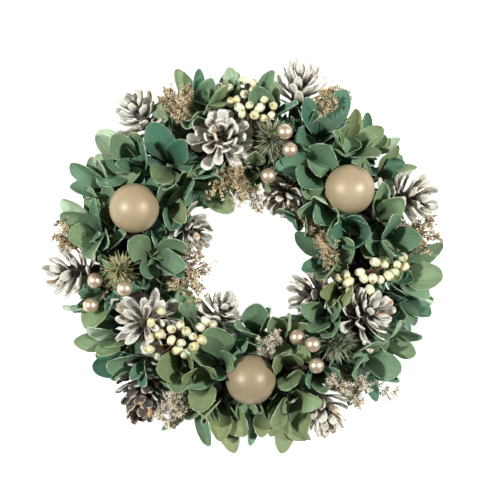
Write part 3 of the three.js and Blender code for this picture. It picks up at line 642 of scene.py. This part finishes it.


# Balls: node, centre, lightness of the paint, lowest for the bottom ball: painted shade.
BALLS = [
    ("ball_left", (-90, 39, 53.6), 0.8),
    ("ball_right", (82, 54, 53.6), 1.0),
    ("ball_bottom", (3, -98, 53.6), 0.0),
]
BALL_STEPS = 48
BALL_SIDES = 64


def ball(name, centre, tone):
    body = Body()
    centre = Vector(centre)
    profile = round_profile(BALL_RADIUS, BALL_RADIUS, BALL_STEPS)
    turned(body, frame_at(centre, UP), profile, BALL_SIDES, lambda p, t: (0.5, 0, tone))
    for i, p in enumerate(body.points):
        way = (p - centre).normalized()
        body.points[i] = centre + way * (BALL_RADIUS - 0.12 + 0.14 * noise.noise(way * 2.2))
    tube(body, [centre, rooted(centre)], [2.2, 2.4], 10, look=1)
    make(body, name, "painted", [BALL, WIRE], sharp=70)


# Pearl picks: node, knot of the wires, pearls.
PEARL_PICKS = [
    ("pearl_pick_top", (27, 84, 37), [(30, 99, 66), (34, 85, 62), (17, 65, 50)]),
    ("pearl_pick_left", (-112, -26, 33), [(-122, -19, 47), (-126, -39, 42), (-97, -25, 63)]),
    ("pearl_pick_right", (53, -78, 36), [(40, -64, 55), (52, -69, 66), (55, -86, 63)]),
]
PEARL_STEPS = 24
PEARL_SIDES = 32


def pearl_pick(name, knot, pearls):
    body = Body()
    knot = Vector(knot)
    tube(body, [knot, rooted(knot)], [1.4, 1.2], 8, look=1)
    profile = round_profile(PEARL_RADIUS, PEARL_RADIUS, PEARL_STEPS)
    for pearl in pearls:
        pearl = Vector(pearl)
        middle = (knot + pearl) / 2 + scatter(1, 1.5)
        tube(body, arc(knot, middle, pearl, 8), [0.75] * 9, 8, look=1)
        turned(body, frame_at(pearl, pearl - knot), profile, PEARL_SIDES, lambda p, t: (0.5, 0, 0.5))
    make(body, name, "beads", [PEARL, WIRE], sharp=70)


# Wax berries: node, spine from the ring, berries.
BERRY_SPRAYS = [
    ("berry_spray_top", [(2, 101, 37), (1, 118, 44), (-1, 136, 38)],
     [(-22, 137, 41), (-15, 136, 43), (-2, 130, 52), (-3, 142, 43), (5, 140, 44), (-8, 126, 52),
      (-13, 124, 49), (-6, 119, 55), (2, 121, 56), (-4, 114, 55), (6, 113, 57), (13, 127, 50),
      (21, 121, 49), (10, 119, 54), (13, 111, 54), (19, 113, 51), (5, 133, 50)]),
    ("berry_spray_left", [(-56, -68, 40), (-52, -64, 46), (-40, -62, 48)],
     [(-68, -43, 60), (-76, -52, 62), (-69, -61, 60), (-76, -64, 57), (-78, -74, 50), (-71, -80, 48),
      (-60, -57, 61), (-53, -54, 59), (-60, -66, 60), (-52, -68, 62), (-48, -59, 61), (-43, -63, 60),
      (-37, -56, 56), (-33, -51, 52), (-28, -54, 49), (-36, -66, 57), (-42, -71, 60), (-55, -74, 58),
      (-49, -77, 57)]),
    ("berry_spray_right", [(100, -12, 37), (104, -10, 44), (117, -6, 42)],
     [(102, -4, 55), (110, -6, 54), (125, 0, 47), (120, -6, 51), (126, -8, 46), (118, -12, 52),
      (113, -15, 54), (106, -18, 56), (100, -17, 58), (93, -17, 57), (81, -20, 54), (79, -14, 52),
      (90, -12, 56), (82, -27, 50), (98, -26, 56), (74, -17, 49)]),
]


def berry_spray(name, spine, berries):
    body = Body()
    joints = [Vector(p) for p in spine]
    tube(body, [rooted(joints[0]), *joints], [2.0, 1.8, 1.4, 0.8], 8, look=1)
    spots = [a.lerp(b, t / 4) for a, b in zip(joints, joints[1:]) for t in range(1, 5)]
    for centre in berries:
        centre = Vector(centre)
        start = min(spots, key=lambda p: (p - centre).length)
        middle = start.lerp(centre, 0.5) + scatter(1.5, -1.5)
        tube(body, arc(start, middle, centre, 6), [0.6] * 7, 6, look=1)
        lean = (centre - middle).normalized() * 0.6 + scatter(1, 0.5)
        place = frame_at(centre, lean, between(0, 6))
        wide = between(3.0, 3.9)
        berry(body, place, wide, wide * between(1.05, 1.5))
    make(body, name, "fruit", [BERRY, WIRE], sharp=70)


BERRY_LOBES = 3
BERRY_STEPS = 12
BERRY_SIDES = 18


def berry(body, place, wide, tall):
    """A plump oval of three lobes that meet in shallow seams, with a small brown point."""
    own = between(0, 1)
    profile = round_profile(wide, tall, BERRY_STEPS, 0.9)
    profile[-1] = (0, tall * 1.05)

    def tone(local, turn):
        seam = abs(math.sin(BERRY_LOBES / 2 * turn)) < 0.22
        high = smooth(0.8, 1.0, local.z / tall)
        low = smooth(0.6, 1.0, -local.z / tall)
        return (0.5, max(high * 0.9, low, 0.62 if seam and local.z > -0.3 * tall else 0.0), own)

    start = len(body.points)
    turned(body, place, profile, BERRY_SIDES, tone)
    centre = place.translation
    for i in range(start, len(body.points)):
        local = place.inverted() @ body.points[i]
        turn = math.atan2(local.y, local.x)
        seam = 1 - min(1, 3 * abs(math.sin(BERRY_LOBES / 2 * turn)))
        lobe = 1 - 0.12 * seam * (1 - abs(local.z) / (tall * 1.1))
        body.points[i] = centre + (body.points[i] - centre) * lobe


# Fir heads: node, centre, direction, tone, reach and thickness of the needles, their number.
FIR_HEADS = [
    ("fir_top", (20, 94, 49), (0.1, 0.1, 1), 0.36, 21, 0.42, 340),
    ("fir_left", (-101, -10, 50), (-0.1, 0.05, 1), 0.72, 18, 0.6, 260),
    ("fir_right", (72, -68, 50), (0.1, -0.15, 1), 0.04, 20, 0.46, 420),
]
NEEDLE_T = (0, 0.35, 0.75, 1)  # stations along a needle
NEEDLE_THICK = (0.8, 1.0, 0.75, 0.2)


def fir_head(name, centre, direction, tone, reach, thick, count):
    body = Body()
    place = frame_at(centre, direction)
    foot, neck, top = [place @ Vector((0, 0, height)) for height in (-9, 6, 9)]
    tube(body, [rooted(foot), foot, neck, top], [1.6, 2.0, 2.2, 0.8], 8, (0.2, 0, 0.2), look=1)
    for i in range(count):
        share = (i + 0.5) / count
        turn = i * GOLDEN + between(-0.25, 0.25)
        rise = -0.25 + 1.7 * share ** 0.9 + between(-0.3, 0.3)
        start = Vector((0, 0, -7 + 14 * share))
        way = circled(math.cos(rise), turn, math.sin(rise))
        long = reach * between(0.6, 1.05) * (1 - 0.25 * share)
        bend = scatter(1.5, 0.0, 2.5)
        own = min(1, max(0, tone + between(-0.3, 0.3) + (0.35 if DRAW.random() < 0.2 else 0)))
        path = [place @ (start + way * long * t + bend * t * t) for t in NEEDLE_T]
        tube(body, path, [thick * r for r in NEEDLE_THICK], 4, tones=[(t, 0, own) for t in NEEDLE_T])
    make(body, name, "needles", [FIR, WIRE], sharp=40)


# Dried sprays: number of the node, fork, tips of the main twigs, paleness, reach of the sprigs on them.
DRIED_SPRAYS = [
    (1, (-50, 108, 32), [(-60, 131, 38), (-50, 131, 40), (-55, 120, 50), (-65, 126, 42)], 0.45, 9.5),
    (2, (-12, 72, 34), [(-22, 56, 46), (-6, 48, 44), (6, 43, 38), (-8, 60, 52)], 0.4, 12),
    (3, (52, 112, 30), [(62, 130, 40), (70, 133, 36), (78, 130, 36), (67, 122, 46)], 0.5, 9),
    (4, (124, 18, 30), [(151, 17, 33), (147, 28, 32), (141, 10, 38)], 0.5, 9),
    (5, (66, 12, 36), [(43, 29, 44), (53, 25, 48), (61, 15, 52), (66, 7, 52), (63, -3, 50)], 0.4, 10),
    (6, (-130, 12, 28), [(-151, 16, 30), (-149, 26, 30), (-147, 10, 34)], 0.35, 8),
    (7, (-66, -14, 34), [(-41, 2, 42), (-35, -8, 38), (-38, -28, 40), (-46, -14, 46)], 0.35, 12),
    (8, (-54, -108, 30), [(-71, -126, 36), (-62, -132, 32), (-54, -123, 38), (-61, -114, 42)], 0.72, 8),
    (9, (16, -78, 36), [(12, -69, 50), (22, -64, 46), (17, -67, 52)], 0.85, 8),
    (10, (78, -98, 32),
     [(68, -98, 52), (92, -102, 44), (116, -110, 30), (90, -116, 34), (78, -104, 50)], 0.9, 10),
]
TWIG_RADII = (0.9, 0.8, 0.7, 0.6, 0.5, 0.45, 0.3)
TWIG_STEPS = len(TWIG_RADII) - 1
SPRIGS = 56  # on each main twig
SILVERY = 0.7  # above this paleness, stems and flowers are silver grey


def dried_spray(number, fork, tips, pale, spread):
    body = Body()
    fork = Vector(fork)
    tube(body, [rooted(fork), fork], [1.6, 1.2], 6, (0, 0, 0.1))
    for tip in tips:
        tip = Vector(tip) + UP * 5
        middle = fork.lerp(tip, 0.5) + UP * 3 + scatter(2, 0, 2)
        path = arc(fork, middle, tip, TWIG_STEPS)
        tube(body, path, TWIG_RADII, 5, (0, 0, 0.05 + 0.2 * pale))
        for n in range(SPRIGS):
            start = path[1 + n % TWIG_STEPS]
            way = (scatter(1, -0.3, 0.9) + (tip - fork).normalized() * 0.6).normalized()
            end = start + way * between(0.35, 1.0) * spread
            knee = start.lerp(end, 0.5) + scatter(0.8, -0.5, 0.8)
            stem = between(0.5, 0.9) if pale > SILVERY else between(0.0, 0.4)
            tube(body, [start, knee, end], [0.34, 0.3, 0.22], 3, (0, 0, stem))
            for spot in (end, knee.lerp(end, 0.75), knee + way, knee.lerp(end, 0.4)):
                tuft(body, spot + scatter(1, -0.2, 1) * 1.1, way, pale)
    make(body, f"dried_spray_{number:02d}", "flowers", [DRIED], sharp=30)


def tuft(body, spot, way, pale):
    """A papery flower of a few small pointed petals."""
    place = frame_at(spot, way, between(0, 6))
    size = between(1.1, 2.2)
    petals = DRAW.choice((3, 3, 4))
    bright = between(0.72, 1.0) if pale > SILVERY else between(0.28, 0.62)
    # About a third of the flowers are near black-brown, and each is darker at its foot: partly the flowers'
    # own colour, partly painted shade in the gaps between and inside them.
    own = bright if DRAW.random() < 0.68 else between(0.0, 0.14)
    foot = body.point(place @ Vector((0, 0, -0.5 * size)), (0.2, 0, own * 0.6))
    for k in range(petals):
        turn = 2 * math.pi * k / petals
        tip = circled(size, turn, between(0.3, 1.0) * size)
        left = circled(0.5 * size, turn - 0.42, 0.2 * size)
        right = circled(0.5 * size, turn + 0.42, 0.2 * size)
        back = tip * 0.45 + Vector((0, 0, 0.35 * size))
        a = body.point(place @ left, (0.5, 0, own))
        b = body.point(place @ tip, (1, 0, min(1, own + 0.15)))
        c = body.point(place @ right, (0.5, 0, own))
        d = body.point(place @ back, (0.5, 0, own))
        for corners in ((foot, a, b), (foot, b, c), (a, d, b), (d, c, b), (foot, d, a), (foot, c, d)):
            body.face(*corners)


# Leaf cups: number of the node, hub, tone, and leaves: the run of each tip from the hub as seen from above,
# then its tone, width and rise where they are given.
CUPS = [
    (1, (-37, 119, 36), 0.35,
     [(-21, 31, 0.5, 13, 0), (-5, 31, 0.1, 9, 6), (6, 24, 0.25, 15), (14, 10), (-9, -17)]),
    (1, (-25, 127, 36), 0.7, [(-6, 8), (7, 7), (2, -9)]),
    (1, (-12, 130, 34), 0.4, [(-1, 22, 0.93, 11, 8), (6, 10)]),
    (2, (16, 118, 36), 0.4, [(3, 31, 0.35, 18), (23, 2, 0.2, 12), (12, 20), (-6, 18)]),
    (3, (58, 95, 40), 0.22,
     [(-14, 29, 0.08, 16, 14), (22, 36, 0.12, 18, 10), (3, 24, 0.1, 18, 6), (-20, 2, 0.1)]),
    (3, (55, 70, 40), 0.2,
     [(-31, 3, 0.15, 19), (-12, -14, 0.25, 23), (12, 16, 0.2, 25), (-6, -24, 0.45, 17, 8), (-26, 14)]),
    (4, (83, 86, 38), 0.5,
     [(3, 31, 0.66, 15, 12), (25, 18, 0.6, 14), (-14, 14, 0.5, 10), (19, -6, 0.5, 19)]),
    (4, (100, 84, 34), 0.5, [(-4, 32, 0.0, 10), (22, 10, 0.85, 9), (8, 14, 0.62, 14)]),
    (4, (110, 66, 34), 0.45, [(7, 24, 0.58, 14), (17, 7, 0.02, 14), (25, 0, 0.6, 11, 8)]),
    (5, (106, 30, 38), 0.45, [(5, 28, 0.45, 14), (18, 15, 0.5, 18)]),
    (5, (115, 13, 37), 0.3, [(0, 18, 0.22, 20), (22, 3, 0.3, 18), (-20, -5, 0.3, 16), (3, -12)]),
    (6, (66, 39, 38), 0.3, [(-26, -2, 0.5, 16), (-10, 7, 0.85, 12), (6, -12), (-14, -10)]),
    (6, (42, 32, 33), 0.2, [(-13, 5, 0.15, 14), (-9, -4, 0.1, 16), (4, -14)]),
    (7, (86, 20, 42), 0.1, [(-22, -1, 0.02, 24), (10, 6, 0.1, 18), (0, 14), (-4, -14, 0.05)]),
    (7, (68, -4, 38), 0.45, [(-29, 22, 0.3, 14), (17, 14), (-25, -6, 0.05, 12), (-6, -13)]),
    (8, (74, -26, 40), 0.72, [(-7, -12, 0.72, 12), (-14, 2, 0.75, 13), (8, -8)]),
    (8, (62, -47, 43), 0.35, [(-18, 10, 0.35, 14), (12, 10, 0.4, 15), (-10, -12, 0.35, 17), (8, -12)]),
    (9, (123, -14, 32), 0.42, [(33, -4, 0.45, 20, 12), (25, -16, 0.38, 16, 3), (31, 28, 0.45, 17, 6)]),
    (9, (127, -35, 31), 0.3, [(24, 0, 0.88, 13, 0), (20, -13, 0.15, 14, 5), (8, -20, 0.3, 14)]),
    (10, (111, -68, 34), 0.4, [(28, 7, 0.35, 12), (24, -7, 0.45, 15), (10, 16, 0.45, 18)]),
    (10, (94, -85, 38), 0.4,
     [(29, -6, 0.38, 22), (-10, -8), (5, 18, 0.45, 20), (27, -16, 0.25, 9), (8, -30, 0.2, 10)]),
    (11, (58, -94, 40), 0.4, [(17, 2, 0.28, 16), (-12, -3, 0.3, 16), (4, -13, 0.3, 14)]),
    (11, (33, -90, 42), 0.55, [(-11, 8, 0.6, 18), (3, -13, 0.45, 17), (3, 14)]),
    (12, (33, -117, 33), 0.6,
     [(-12, -27, 0.66, 15), (-3, -41, 0.7, 16), (14, -31, 0.66, 24), (26, 1, 0.52, 19, 17),
      (-13, -13, 0.6, 20)]),
    (12, (14, -122, 30), 0.5, [(-14, -29, 0.25, 9), (0, -22, 0.7, 13, 20)]),
    (13, (28, -66, 38), 0.5, [(-5, 20, 0.5, 16), (8, 18, 0.86, 8), (20, 14, 0.72, 10)]),
    (13, (6, -62, 37), 0.35, [(1, 25, 0.3, 20), (12, 20, 0.4, 9), (-13, 4), (4, -8)]),
    (14, (-20, -84, 42), 0.4, [(-4, 28, 0.48, 24), (10, 4, 0.3, 18), (-3, -13, 0.15, 12)]),
    (14, (-38, -96, 40), 0.6, [(6, -25, 0.62, 20), (8, 9, 0.6, 16), (-11, 4)]),
    (15, (-52, -86, 40), 0.68,
     [(-17, -6, 0.68, 22), (-3, -20, 0.52, 17), (2, -32, 0.66, 15), (10, 6, 0.62, 16)]),
    (16, (-20, -118, 34), 0.7,
     [(-16, -10, 0.72, 20), (-5, -28, 0.7, 16), (5, -40, 0.78, 15), (19, -25, 0.68, 19)]),
    (16, (-44, -118, 33), 0.65, [(14, -34, 0.25, 11), (-22, -24, 0.92, 9), (-3, -12, 0.72, 16), (10, -8)]),
    (17, (-84, -85, 36), 0.4,
     [(-25, 2, 0.42, 18), (-40, 0, 0.0, 19), (-6, -12, 0.3, 9), (-24, -13, 0.4, 9, 8), (4, -14, 0.02, 14)]),
    (18, (-107, -68, 36), 0.45, [(-20, 10, 0.93, 14), (-32, 0, 0.42, 16), (-10, -12, 0.55, 16)]),
    (18, (-114, -34, 34), 0.4, [(-14, -23, 0.5, 18), (-20, 4, 0.3, 12), (-35, -4, 0.9, 11)]),
    (19, (-72, -2, 38), 0.3,
     [(23, 12, 0.36, 20), (23, -3, 0.3, 18), (-21, 15, 0.42, 20), (17, -16, 0.03, 14), (-9, -14, 0.2, 14)]),
    (20, (-122, 19, 34), 0.4,
     [(-25, 18, 0.45, 18), (-8, 36, 0.45, 14), (-20, -5, 0.42, 20), (-3, -20, 0.4, 20), (12, -8),
      (-25, 29, 0.9, 13), (2, 26, 0.3, 9)]),
    (20, (-118, 56, 34), 0.3, [(-20, 21, 0.28, 15), (-8, 24, 0.93, 15), (-24, -1, 0.2, 14), (-12, -8)]),
    (21, (-88, 74, 37), 0.3,
     [(-32, -14, 0.22, 17), (-34, 24, 0.88, 19), (-22, 17, 0.4, 20, 20), (-14, 2, 0.15, 10),
      (0, 32, 0.5, 10), (8, 11, 0.18, 17)]),
    (21, (-63, 74, 40), 0.15,
     [(-12, 33, 0.08, 21, 13), (14, 17, 0.05, 17), (-10, -14, 0.62, 19), (3, -20, 0.6, 16)]),
    (22, (-60, 44, 38), 0.3, [(2, -24, 0.18, 16), (13, -15, 0.76, 13), (-6, 14)]),
    (22, (-38, 60, 38), 0.25, [(14, 4, 0.25, 21), (-10, -12), (25, -24, 0.6, 18)]),
    (23, (5, 68, 36), 0.6, [(3, 15, 0.6, 14, 26), (12, -12, 0.76, 16, 24)]),
]


# Leaves outside the cups: number of the node, root, run, width, tone, and facing where it isn't up.
LONE_LEAVES = [
    (3, (59, 91, 37), (-19, 31, 12), 22, 0.1, (1, 0.5, 0.45)),
    (3, (57, 90, 36), (26, 17, 12), 20, 0.3, (-0.5, 1, 0.6)),
    (20, (-114, 4, 38), (18, 17, 12), 16, 0.3, (-0.6, 0.7, 0.5)),
    (21, (-58, 98, 29), (-18, 25, 5), 12, 0.42, (-0.2, 0.1, 1)),
    (21, (-104, 67, 36), (-18, 14, 14), 14, 0.93, (0.4, -0.3, 1)),
    (14, (-42, -54, 38), (-13, 27, 8), 17, 0.4, (0.2, 0.1, 1)),
    (14, (-12, -78, 22), (-1, 22, -4), 18, 0.15),
    (14, (-64, -60, 22), (6, 22, -2), 16, 0.2),
    (14, (-44, -70, 20), (4, 22, -3), 16, 0.15),
    (10, (94, -82, 24), (-11, 14, 2), 16, 0.3),
    (12, (28, -104, 24), (10, -18, 2), 16, 0.5),
    (22, (-46, 68, 24), (8, -19, 0), 17, 0.3),
    (1, (-47, 95, 25), (-10, 11, 2), 15, 0.4),
    (19, (-74, -18, 24), (12, -16, 0), 16, 0.2),
    (8, (76, -50, 20), (-24, 10, 3), 22, 0.3),
    (2, (24, 106, 26), (20, 4, 3), 18, 0.2),
    (6, (48, 57, 16), (-30, -1, -4), 24, 0.05),
    (6, (48, 44, 16), (-22, 0, -4), 20, 0.05),
    (19, (-84, -12, 30), (-4, -24, 4), 16, 0.15),
    (12, (44, -102, 25), (10, -16, 2), 16, 0.5),
    (15, (-74, -84, 27), (2, -28, 2), 18, 0.5),
    (17, (-86, -80, 26), (14, -14, 3), 18, 0.3),
    (17, (-94, -64, 24), (14, -12, 2), 20, 0.2),
    (18, (-122, -25, 26), (-16, 3, 2), 18, 0.2),
    (22, (-66, 20, 20), (22, -3, -4), 20, 0.1),
    (4, (84, 80, 36), (-10, 18, 14), 17, 0.55, (1, 0.6, 0.5)),
    (21, (-82, 72, 38), (-30, 8, 10), 18, 0.2, (0.3, -1, 0.6)),
    (16, (-46, -114, 34), (6, 26, 14), 18, 0.75, (1, -0.3, 0.6)),
]


# A leaf from root to round end: stations, half width if broad and if slim, and stations across.
LEAF_LOWER = 0.58
END_TURNS = [math.radians(a) for a in (18, 35, 50, 63, 74, 82, 88)]
LEAF_T = [LEAF_LOWER * (k / 6) ** 0.9 for k in range(7)]
LEAF_BROAD = [0.16 + 0.84 * smooth(0.0, LEAF_LOWER * 1.08, t) for t in LEAF_T]
LEAF_T += [LEAF_LOWER + (1 - LEAF_LOWER) * math.sin(a) for a in END_TURNS]
LEAF_BROAD += [math.cos(a) ** 0.92 for a in END_TURNS]
LEAF_SLIM = [0.16 + 0.84 * smooth(0.0, 0.5, t) if t < 0.45 else (1.003 - ((t - 0.45) / 0.55) ** 2) ** 0.56
             for t in LEAF_T]
LEAF_S = (-1, -0.93, -0.66, -0.34, 0, 0.34, 0.66, 0.93, 1)


def bent_round(place, t):
    """A leaf bends round a ball, below a pearl, and with its outer part round a cone."""
    for _, centre, _ in BALLS:
        away = place - Vector(centre)
        if away.length < BALL_RADIUS + 1:
            return Vector(centre) + away.normalized() * (BALL_RADIUS + 1)
        flat = Vector((away.x, away.y, 0))
        if away.z > -8 and flat.length < BALL_RADIUS + 0.6:
            place = place + flat.normalized() * (BALL_RADIUS + 0.6 - flat.length)
    for _, centre, _, radius, *_ in CONES:
        away = place - Vector(centre)
        keep = 1.02 * radius * smooth(0.1, 0.7, t)
        if 0.5 * radius < away.length < keep:
            place = Vector(centre) + away.normalized() * keep
    for _, _, pearls in PEARL_PICKS:
        for x, y, z in pearls:
            aside = math.hypot(place.x - x, place.y - y)
            place.z = min(place.z, z - 8 + 34 * smooth(PEARL_RADIUS, PEARL_RADIUS + 14, aside))
    return place


def leaf(body, root, run, facing, wide, tone):
    """One tongue-shaped leaf: a narrow root, a round end, and sides that bend up towards its facing side."""
    along = run.normalized()
    normal = (facing - along * facing.dot(along)).normalized()
    side = normal.cross(along)
    long = run.length
    cup = between(2.0, 5.5)
    bow = between(-2.8, 1.2)
    wave = between(0, 6.28)
    ripples = between(1.5, 3.0)
    ripple = between(0.2, 0.9)
    twist = between(-0.22, 0.22)
    bend = between(-0.1, 0.1) * long
    curl = between(-1.2, 1.6)
    slim = DRAW.random()
    most = 0.8 if tone < 0.78 else 1.0  # no green leaf turns pale by chance
    own = min(most, max(0, tone + between(-0.07, 0.07)))
    grid = []
    tones = []
    for t, full, narrow in zip(LEAF_T, LEAF_BROAD, LEAF_SLIM):
        spread = full + (narrow - full) * slim
        line = []
        for s in LEAF_S:
            nick = 0.02 * math.sin(19 * t + wave * 3 + 2 * s) * smooth(0.3, 0.6, t)
            across = s * wide / 2 * spread * (1 + nick)
            ruffle = math.sin(ripples * math.pi * t + wave + 1.3 * s)
            lift = bow * 4 * t * (1 - t) + cup * s * s * spread + ripple * ruffle * s * s * t - curl * t ** 3
            lift += twist * across * t
            across += bend * t * t
            line.append(bent_round(root + along * long * t + normal * lift + side * across, t))
        grid.append(line)
        tones.append([(t, 0.5 + 0.5 * s, own) for s in LEAF_S])
    rims = (0, len(LEAF_S) - 1)
    blade(body, grid, tones, lambda i, j: 0.4 if j in rims or i == len(LEAF_T) - 1 else 0.8)


# What the leaves that a rule adds keep clear of: centre, radius.
SPOTS = [(Vector(c), BALL_RADIUS + 1) for _, c, _ in BALLS]
SPOTS += [(Vector(c), r * 0.86) for _, c, _, r, *_ in CONES]
SPOTS += [(Vector(p), PEARL_RADIUS + 1.5) for _, _, ps in PEARL_PICKS for p in ps]
SPOTS += [(Vector(p), 5) for _, _, ps in BERRY_SPRAYS for p in ps]
SPOTS += [(Vector(c), 13) for _, c, *_ in FIR_HEADS]
HOLE_RADIUS = 50
OUTLINE_RADIUS = 154


def clear(root, run, over=True):
    """Whether a leaf keeps off the pieces, the hole and the outline, and if asked isn't over a piece."""
    for t in (0.3, 0.55, 0.8, 1.0):
        p = root + run * t
        for centre, radius in SPOTS:
            if (p - centre).length < radius:
                return False
            if over and p.z > centre.z and math.hypot(p.x - centre.x, p.y - centre.y) < radius + 2:
                return False
    tip = root + run
    return HOLE_RADIUS < math.hypot(tip.x, tip.y) < OUTLINE_RADIUS and tip.z > 5


def cup_leaf(body, hub, axis, cup_tone, dx, dy, tone=None, width=None, rise=None):
    """A leaf of a cup as its row gives it."""
    if rise is None:
        free = math.sqrt(max(0, LEAF_LENGTH ** 2 - math.hypot(dx, dy) ** 2))
        outer = math.hypot(hub.x + dx, hub.y + dy) > OUTER_RADIUS
        rise = min(free, OUTER_RISE if outer else LEAF_RISE)
    run = Vector((dx, dy, rise))
    steep = run.normalized().dot(axis) > 0.94
    facing = Vector((-dx, -dy, 6)) if steep else axis
    root = hub - axis * 7
    tip = hub + run * 1.03 + UP * 2
    reach = tip - root
    start = root + (reach - axis * reach.dot(axis)).normalized() * 1.5
    wide = width * 1.2 if width else min(21.0, 2 + reach.length * 0.48) * between(0.88, 1.1)
    leaf(body, start, tip - start, facing, wide, cup_tone if tone is None else tone)
    return run


def fan(body, hub, axis, tone, taken):
    """Low leaves all round a cup's axis, wherever no leaf stands yet."""
    slots = 6
    turn = UP.rotation_difference(axis)
    start = between(0, 6.28)
    for k in range(slots):
        spin = start + (k + between(-0.15, 0.15)) * 2 * math.pi / slots
        if any(abs(math.remainder(spin - other, 2 * math.pi)) < 0.55 for other in taken):
            continue
        tilt = between(1.1, 1.4)
        run = turn @ circled(math.sin(tilt), spin, math.cos(tilt)) * between(31, 39)
        root = hub - axis * 10
        if clear(root, run):
            taken.append(spin)
            wide = min(FILLER_WIDTH, run.length * between(0.44, 0.56))
            leaf(body, root, run, axis, wide, tone + between(-0.2, 0.2))


def cup_leaves(body, hub, tone, leaves):
    """The leaves of a cup, the low ones round them, and its stem."""
    axis = ((hub - tube_below(hub)).normalized() + UP * 0.6).normalized()
    level = UP.rotation_difference(axis).inverted()
    taken = []
    for row in leaves:
        local = level @ cup_leaf(body, hub, axis, tone, *row)
        taken.append(math.atan2(local.y, local.x))
    fan(body, hub, axis, tone, taken)
    end = rooted(hub)
    tube(body, [hub - axis * 3, hub.lerp(end, 0.5), end], [2.4, 1.6, 1.4], 8, (0.0, 0, 0.3))


UNDER_TRIES = 1200
UNDER_REACH = 16  # from the middle of the ring's tube to the root of a low leaf
UNDER_TOP = 42  # their tips lie lower


def under_leaves(bodies, hubs):
    """A low layer that hides the ring between the cups."""
    for i in range(UNDER_TRIES):
        turn = i * GOLDEN
        lay = between(-0.4, 1.0) * math.pi / 2
        lay = lay if i % 3 else math.pi - lay
        height = TUBE_HEIGHT + UNDER_REACH * math.sin(lay)
        spot = circled(RING_RADIUS + UNDER_REACH * math.cos(lay), turn, height)
        out = (spot - tube_below(spot)).normalized()
        round_ring = Vector((-math.sin(turn), math.cos(turn), 0))
        way = out * between(0.3, 1.0) + round_ring * between(-1.0, 1.0) + UP * between(-0.1, 0.35)
        run = way.normalized() * between(24, 38)
        if clear(spot, run, over=False) and (spot + run).z <= UNDER_TOP:
            number = min(hubs, key=lambda h: (h[1] - spot).length)[0]
            wide = min(FILLER_WIDTH, run.length * between(0.46, 0.58))
            leaf(bodies[number], spot, run, (out + UP * 0.5).normalized(), wide, between(0.0, 0.6))


def all_leaves():
    bodies = {number: Body() for number, *_ in CUPS}
    for number, hub, tone, leaves in CUPS:
        cup_leaves(bodies[number], Vector(hub), tone, leaves)
    for number, root, run, wide, tone, *facing in LONE_LEAVES:
        leaf(bodies[number], Vector(root), Vector(run), Vector(*facing) if facing else UP, wide, tone)
    under_leaves(bodies, [(number, Vector(hub)) for number, hub, *_ in CUPS])
    for number, body in bodies.items():
        body.settle()
        make(body, f"leaf_cups_{number:02d}", "blades", [LEAF], sharp=55)


vine_ring()
for build, rows in ((pinecone, CONES), (ball, BALLS), (pearl_pick, PEARL_PICKS), (berry_spray, BERRY_SPRAYS),
                    (fir_head, FIR_HEADS), (dried_spray, DRIED_SPRAYS)):
    for row in rows:
        build(*row)
all_leaves()


# The stage, in metres: floor, world and lamps.
FLOOR_HALF = 3.0
FLOOR_DROP = 0.0002
WORLD_LIGHT = 0.1
LAMP_ASIDE = 1.0
LAMP_Y = 0.12
LAMP_HEIGHT = 1.05
LAMP_SIZE = 0.12
LAMP_POWER = 23
LAMP_AIM = 0.04  # height of the spot in the ring's middle that both lamps point at


def add_floor():
    mesh = bpy.data.meshes.new("floor")
    corners = [(x * FLOOR_HALF, y * FLOOR_HALF, 0) for x, y in ((-1, -1), (1, -1), (1, 1), (-1, 1))]
    mesh.from_pydata(corners, [], [(0, 1, 2, 3)])
    mesh.materials.append(floor_look())
    floor = added("floor", mesh)
    floor.location.z = -FLOOR_DROP


def add_world():
    world = bpy.data.worlds.new("world")
    world.use_nodes = True
    colour, strength = world.node_tree.nodes["Background"].inputs[:2]
    colour.default_value = (1, 1, 1, 1)
    strength.default_value = WORLD_LIGHT
    bpy.context.scene.world = world


def add_lamps():
    for name, x in (("key_left", -LAMP_ASIDE), ("key_right", LAMP_ASIDE)):
        light = bpy.data.lights.new(name, "AREA")
        light.energy = LAMP_POWER
        light.shape = "DISK"
        light.size = LAMP_SIZE
        lamp = added(name, light)
        lamp.location = (RING_X + x, RING_Y + LAMP_Y, LAMP_HEIGHT)
        aim = Vector((RING_X, RING_Y, LAMP_AIM)) - Vector(lamp.location)
        lamp.rotation_euler = aim.to_track_quat("-Z", "Y").to_euler()


add_floor()
add_world()
add_lamps()
bpy.context.scene.view_settings.view_transform = "Standard"
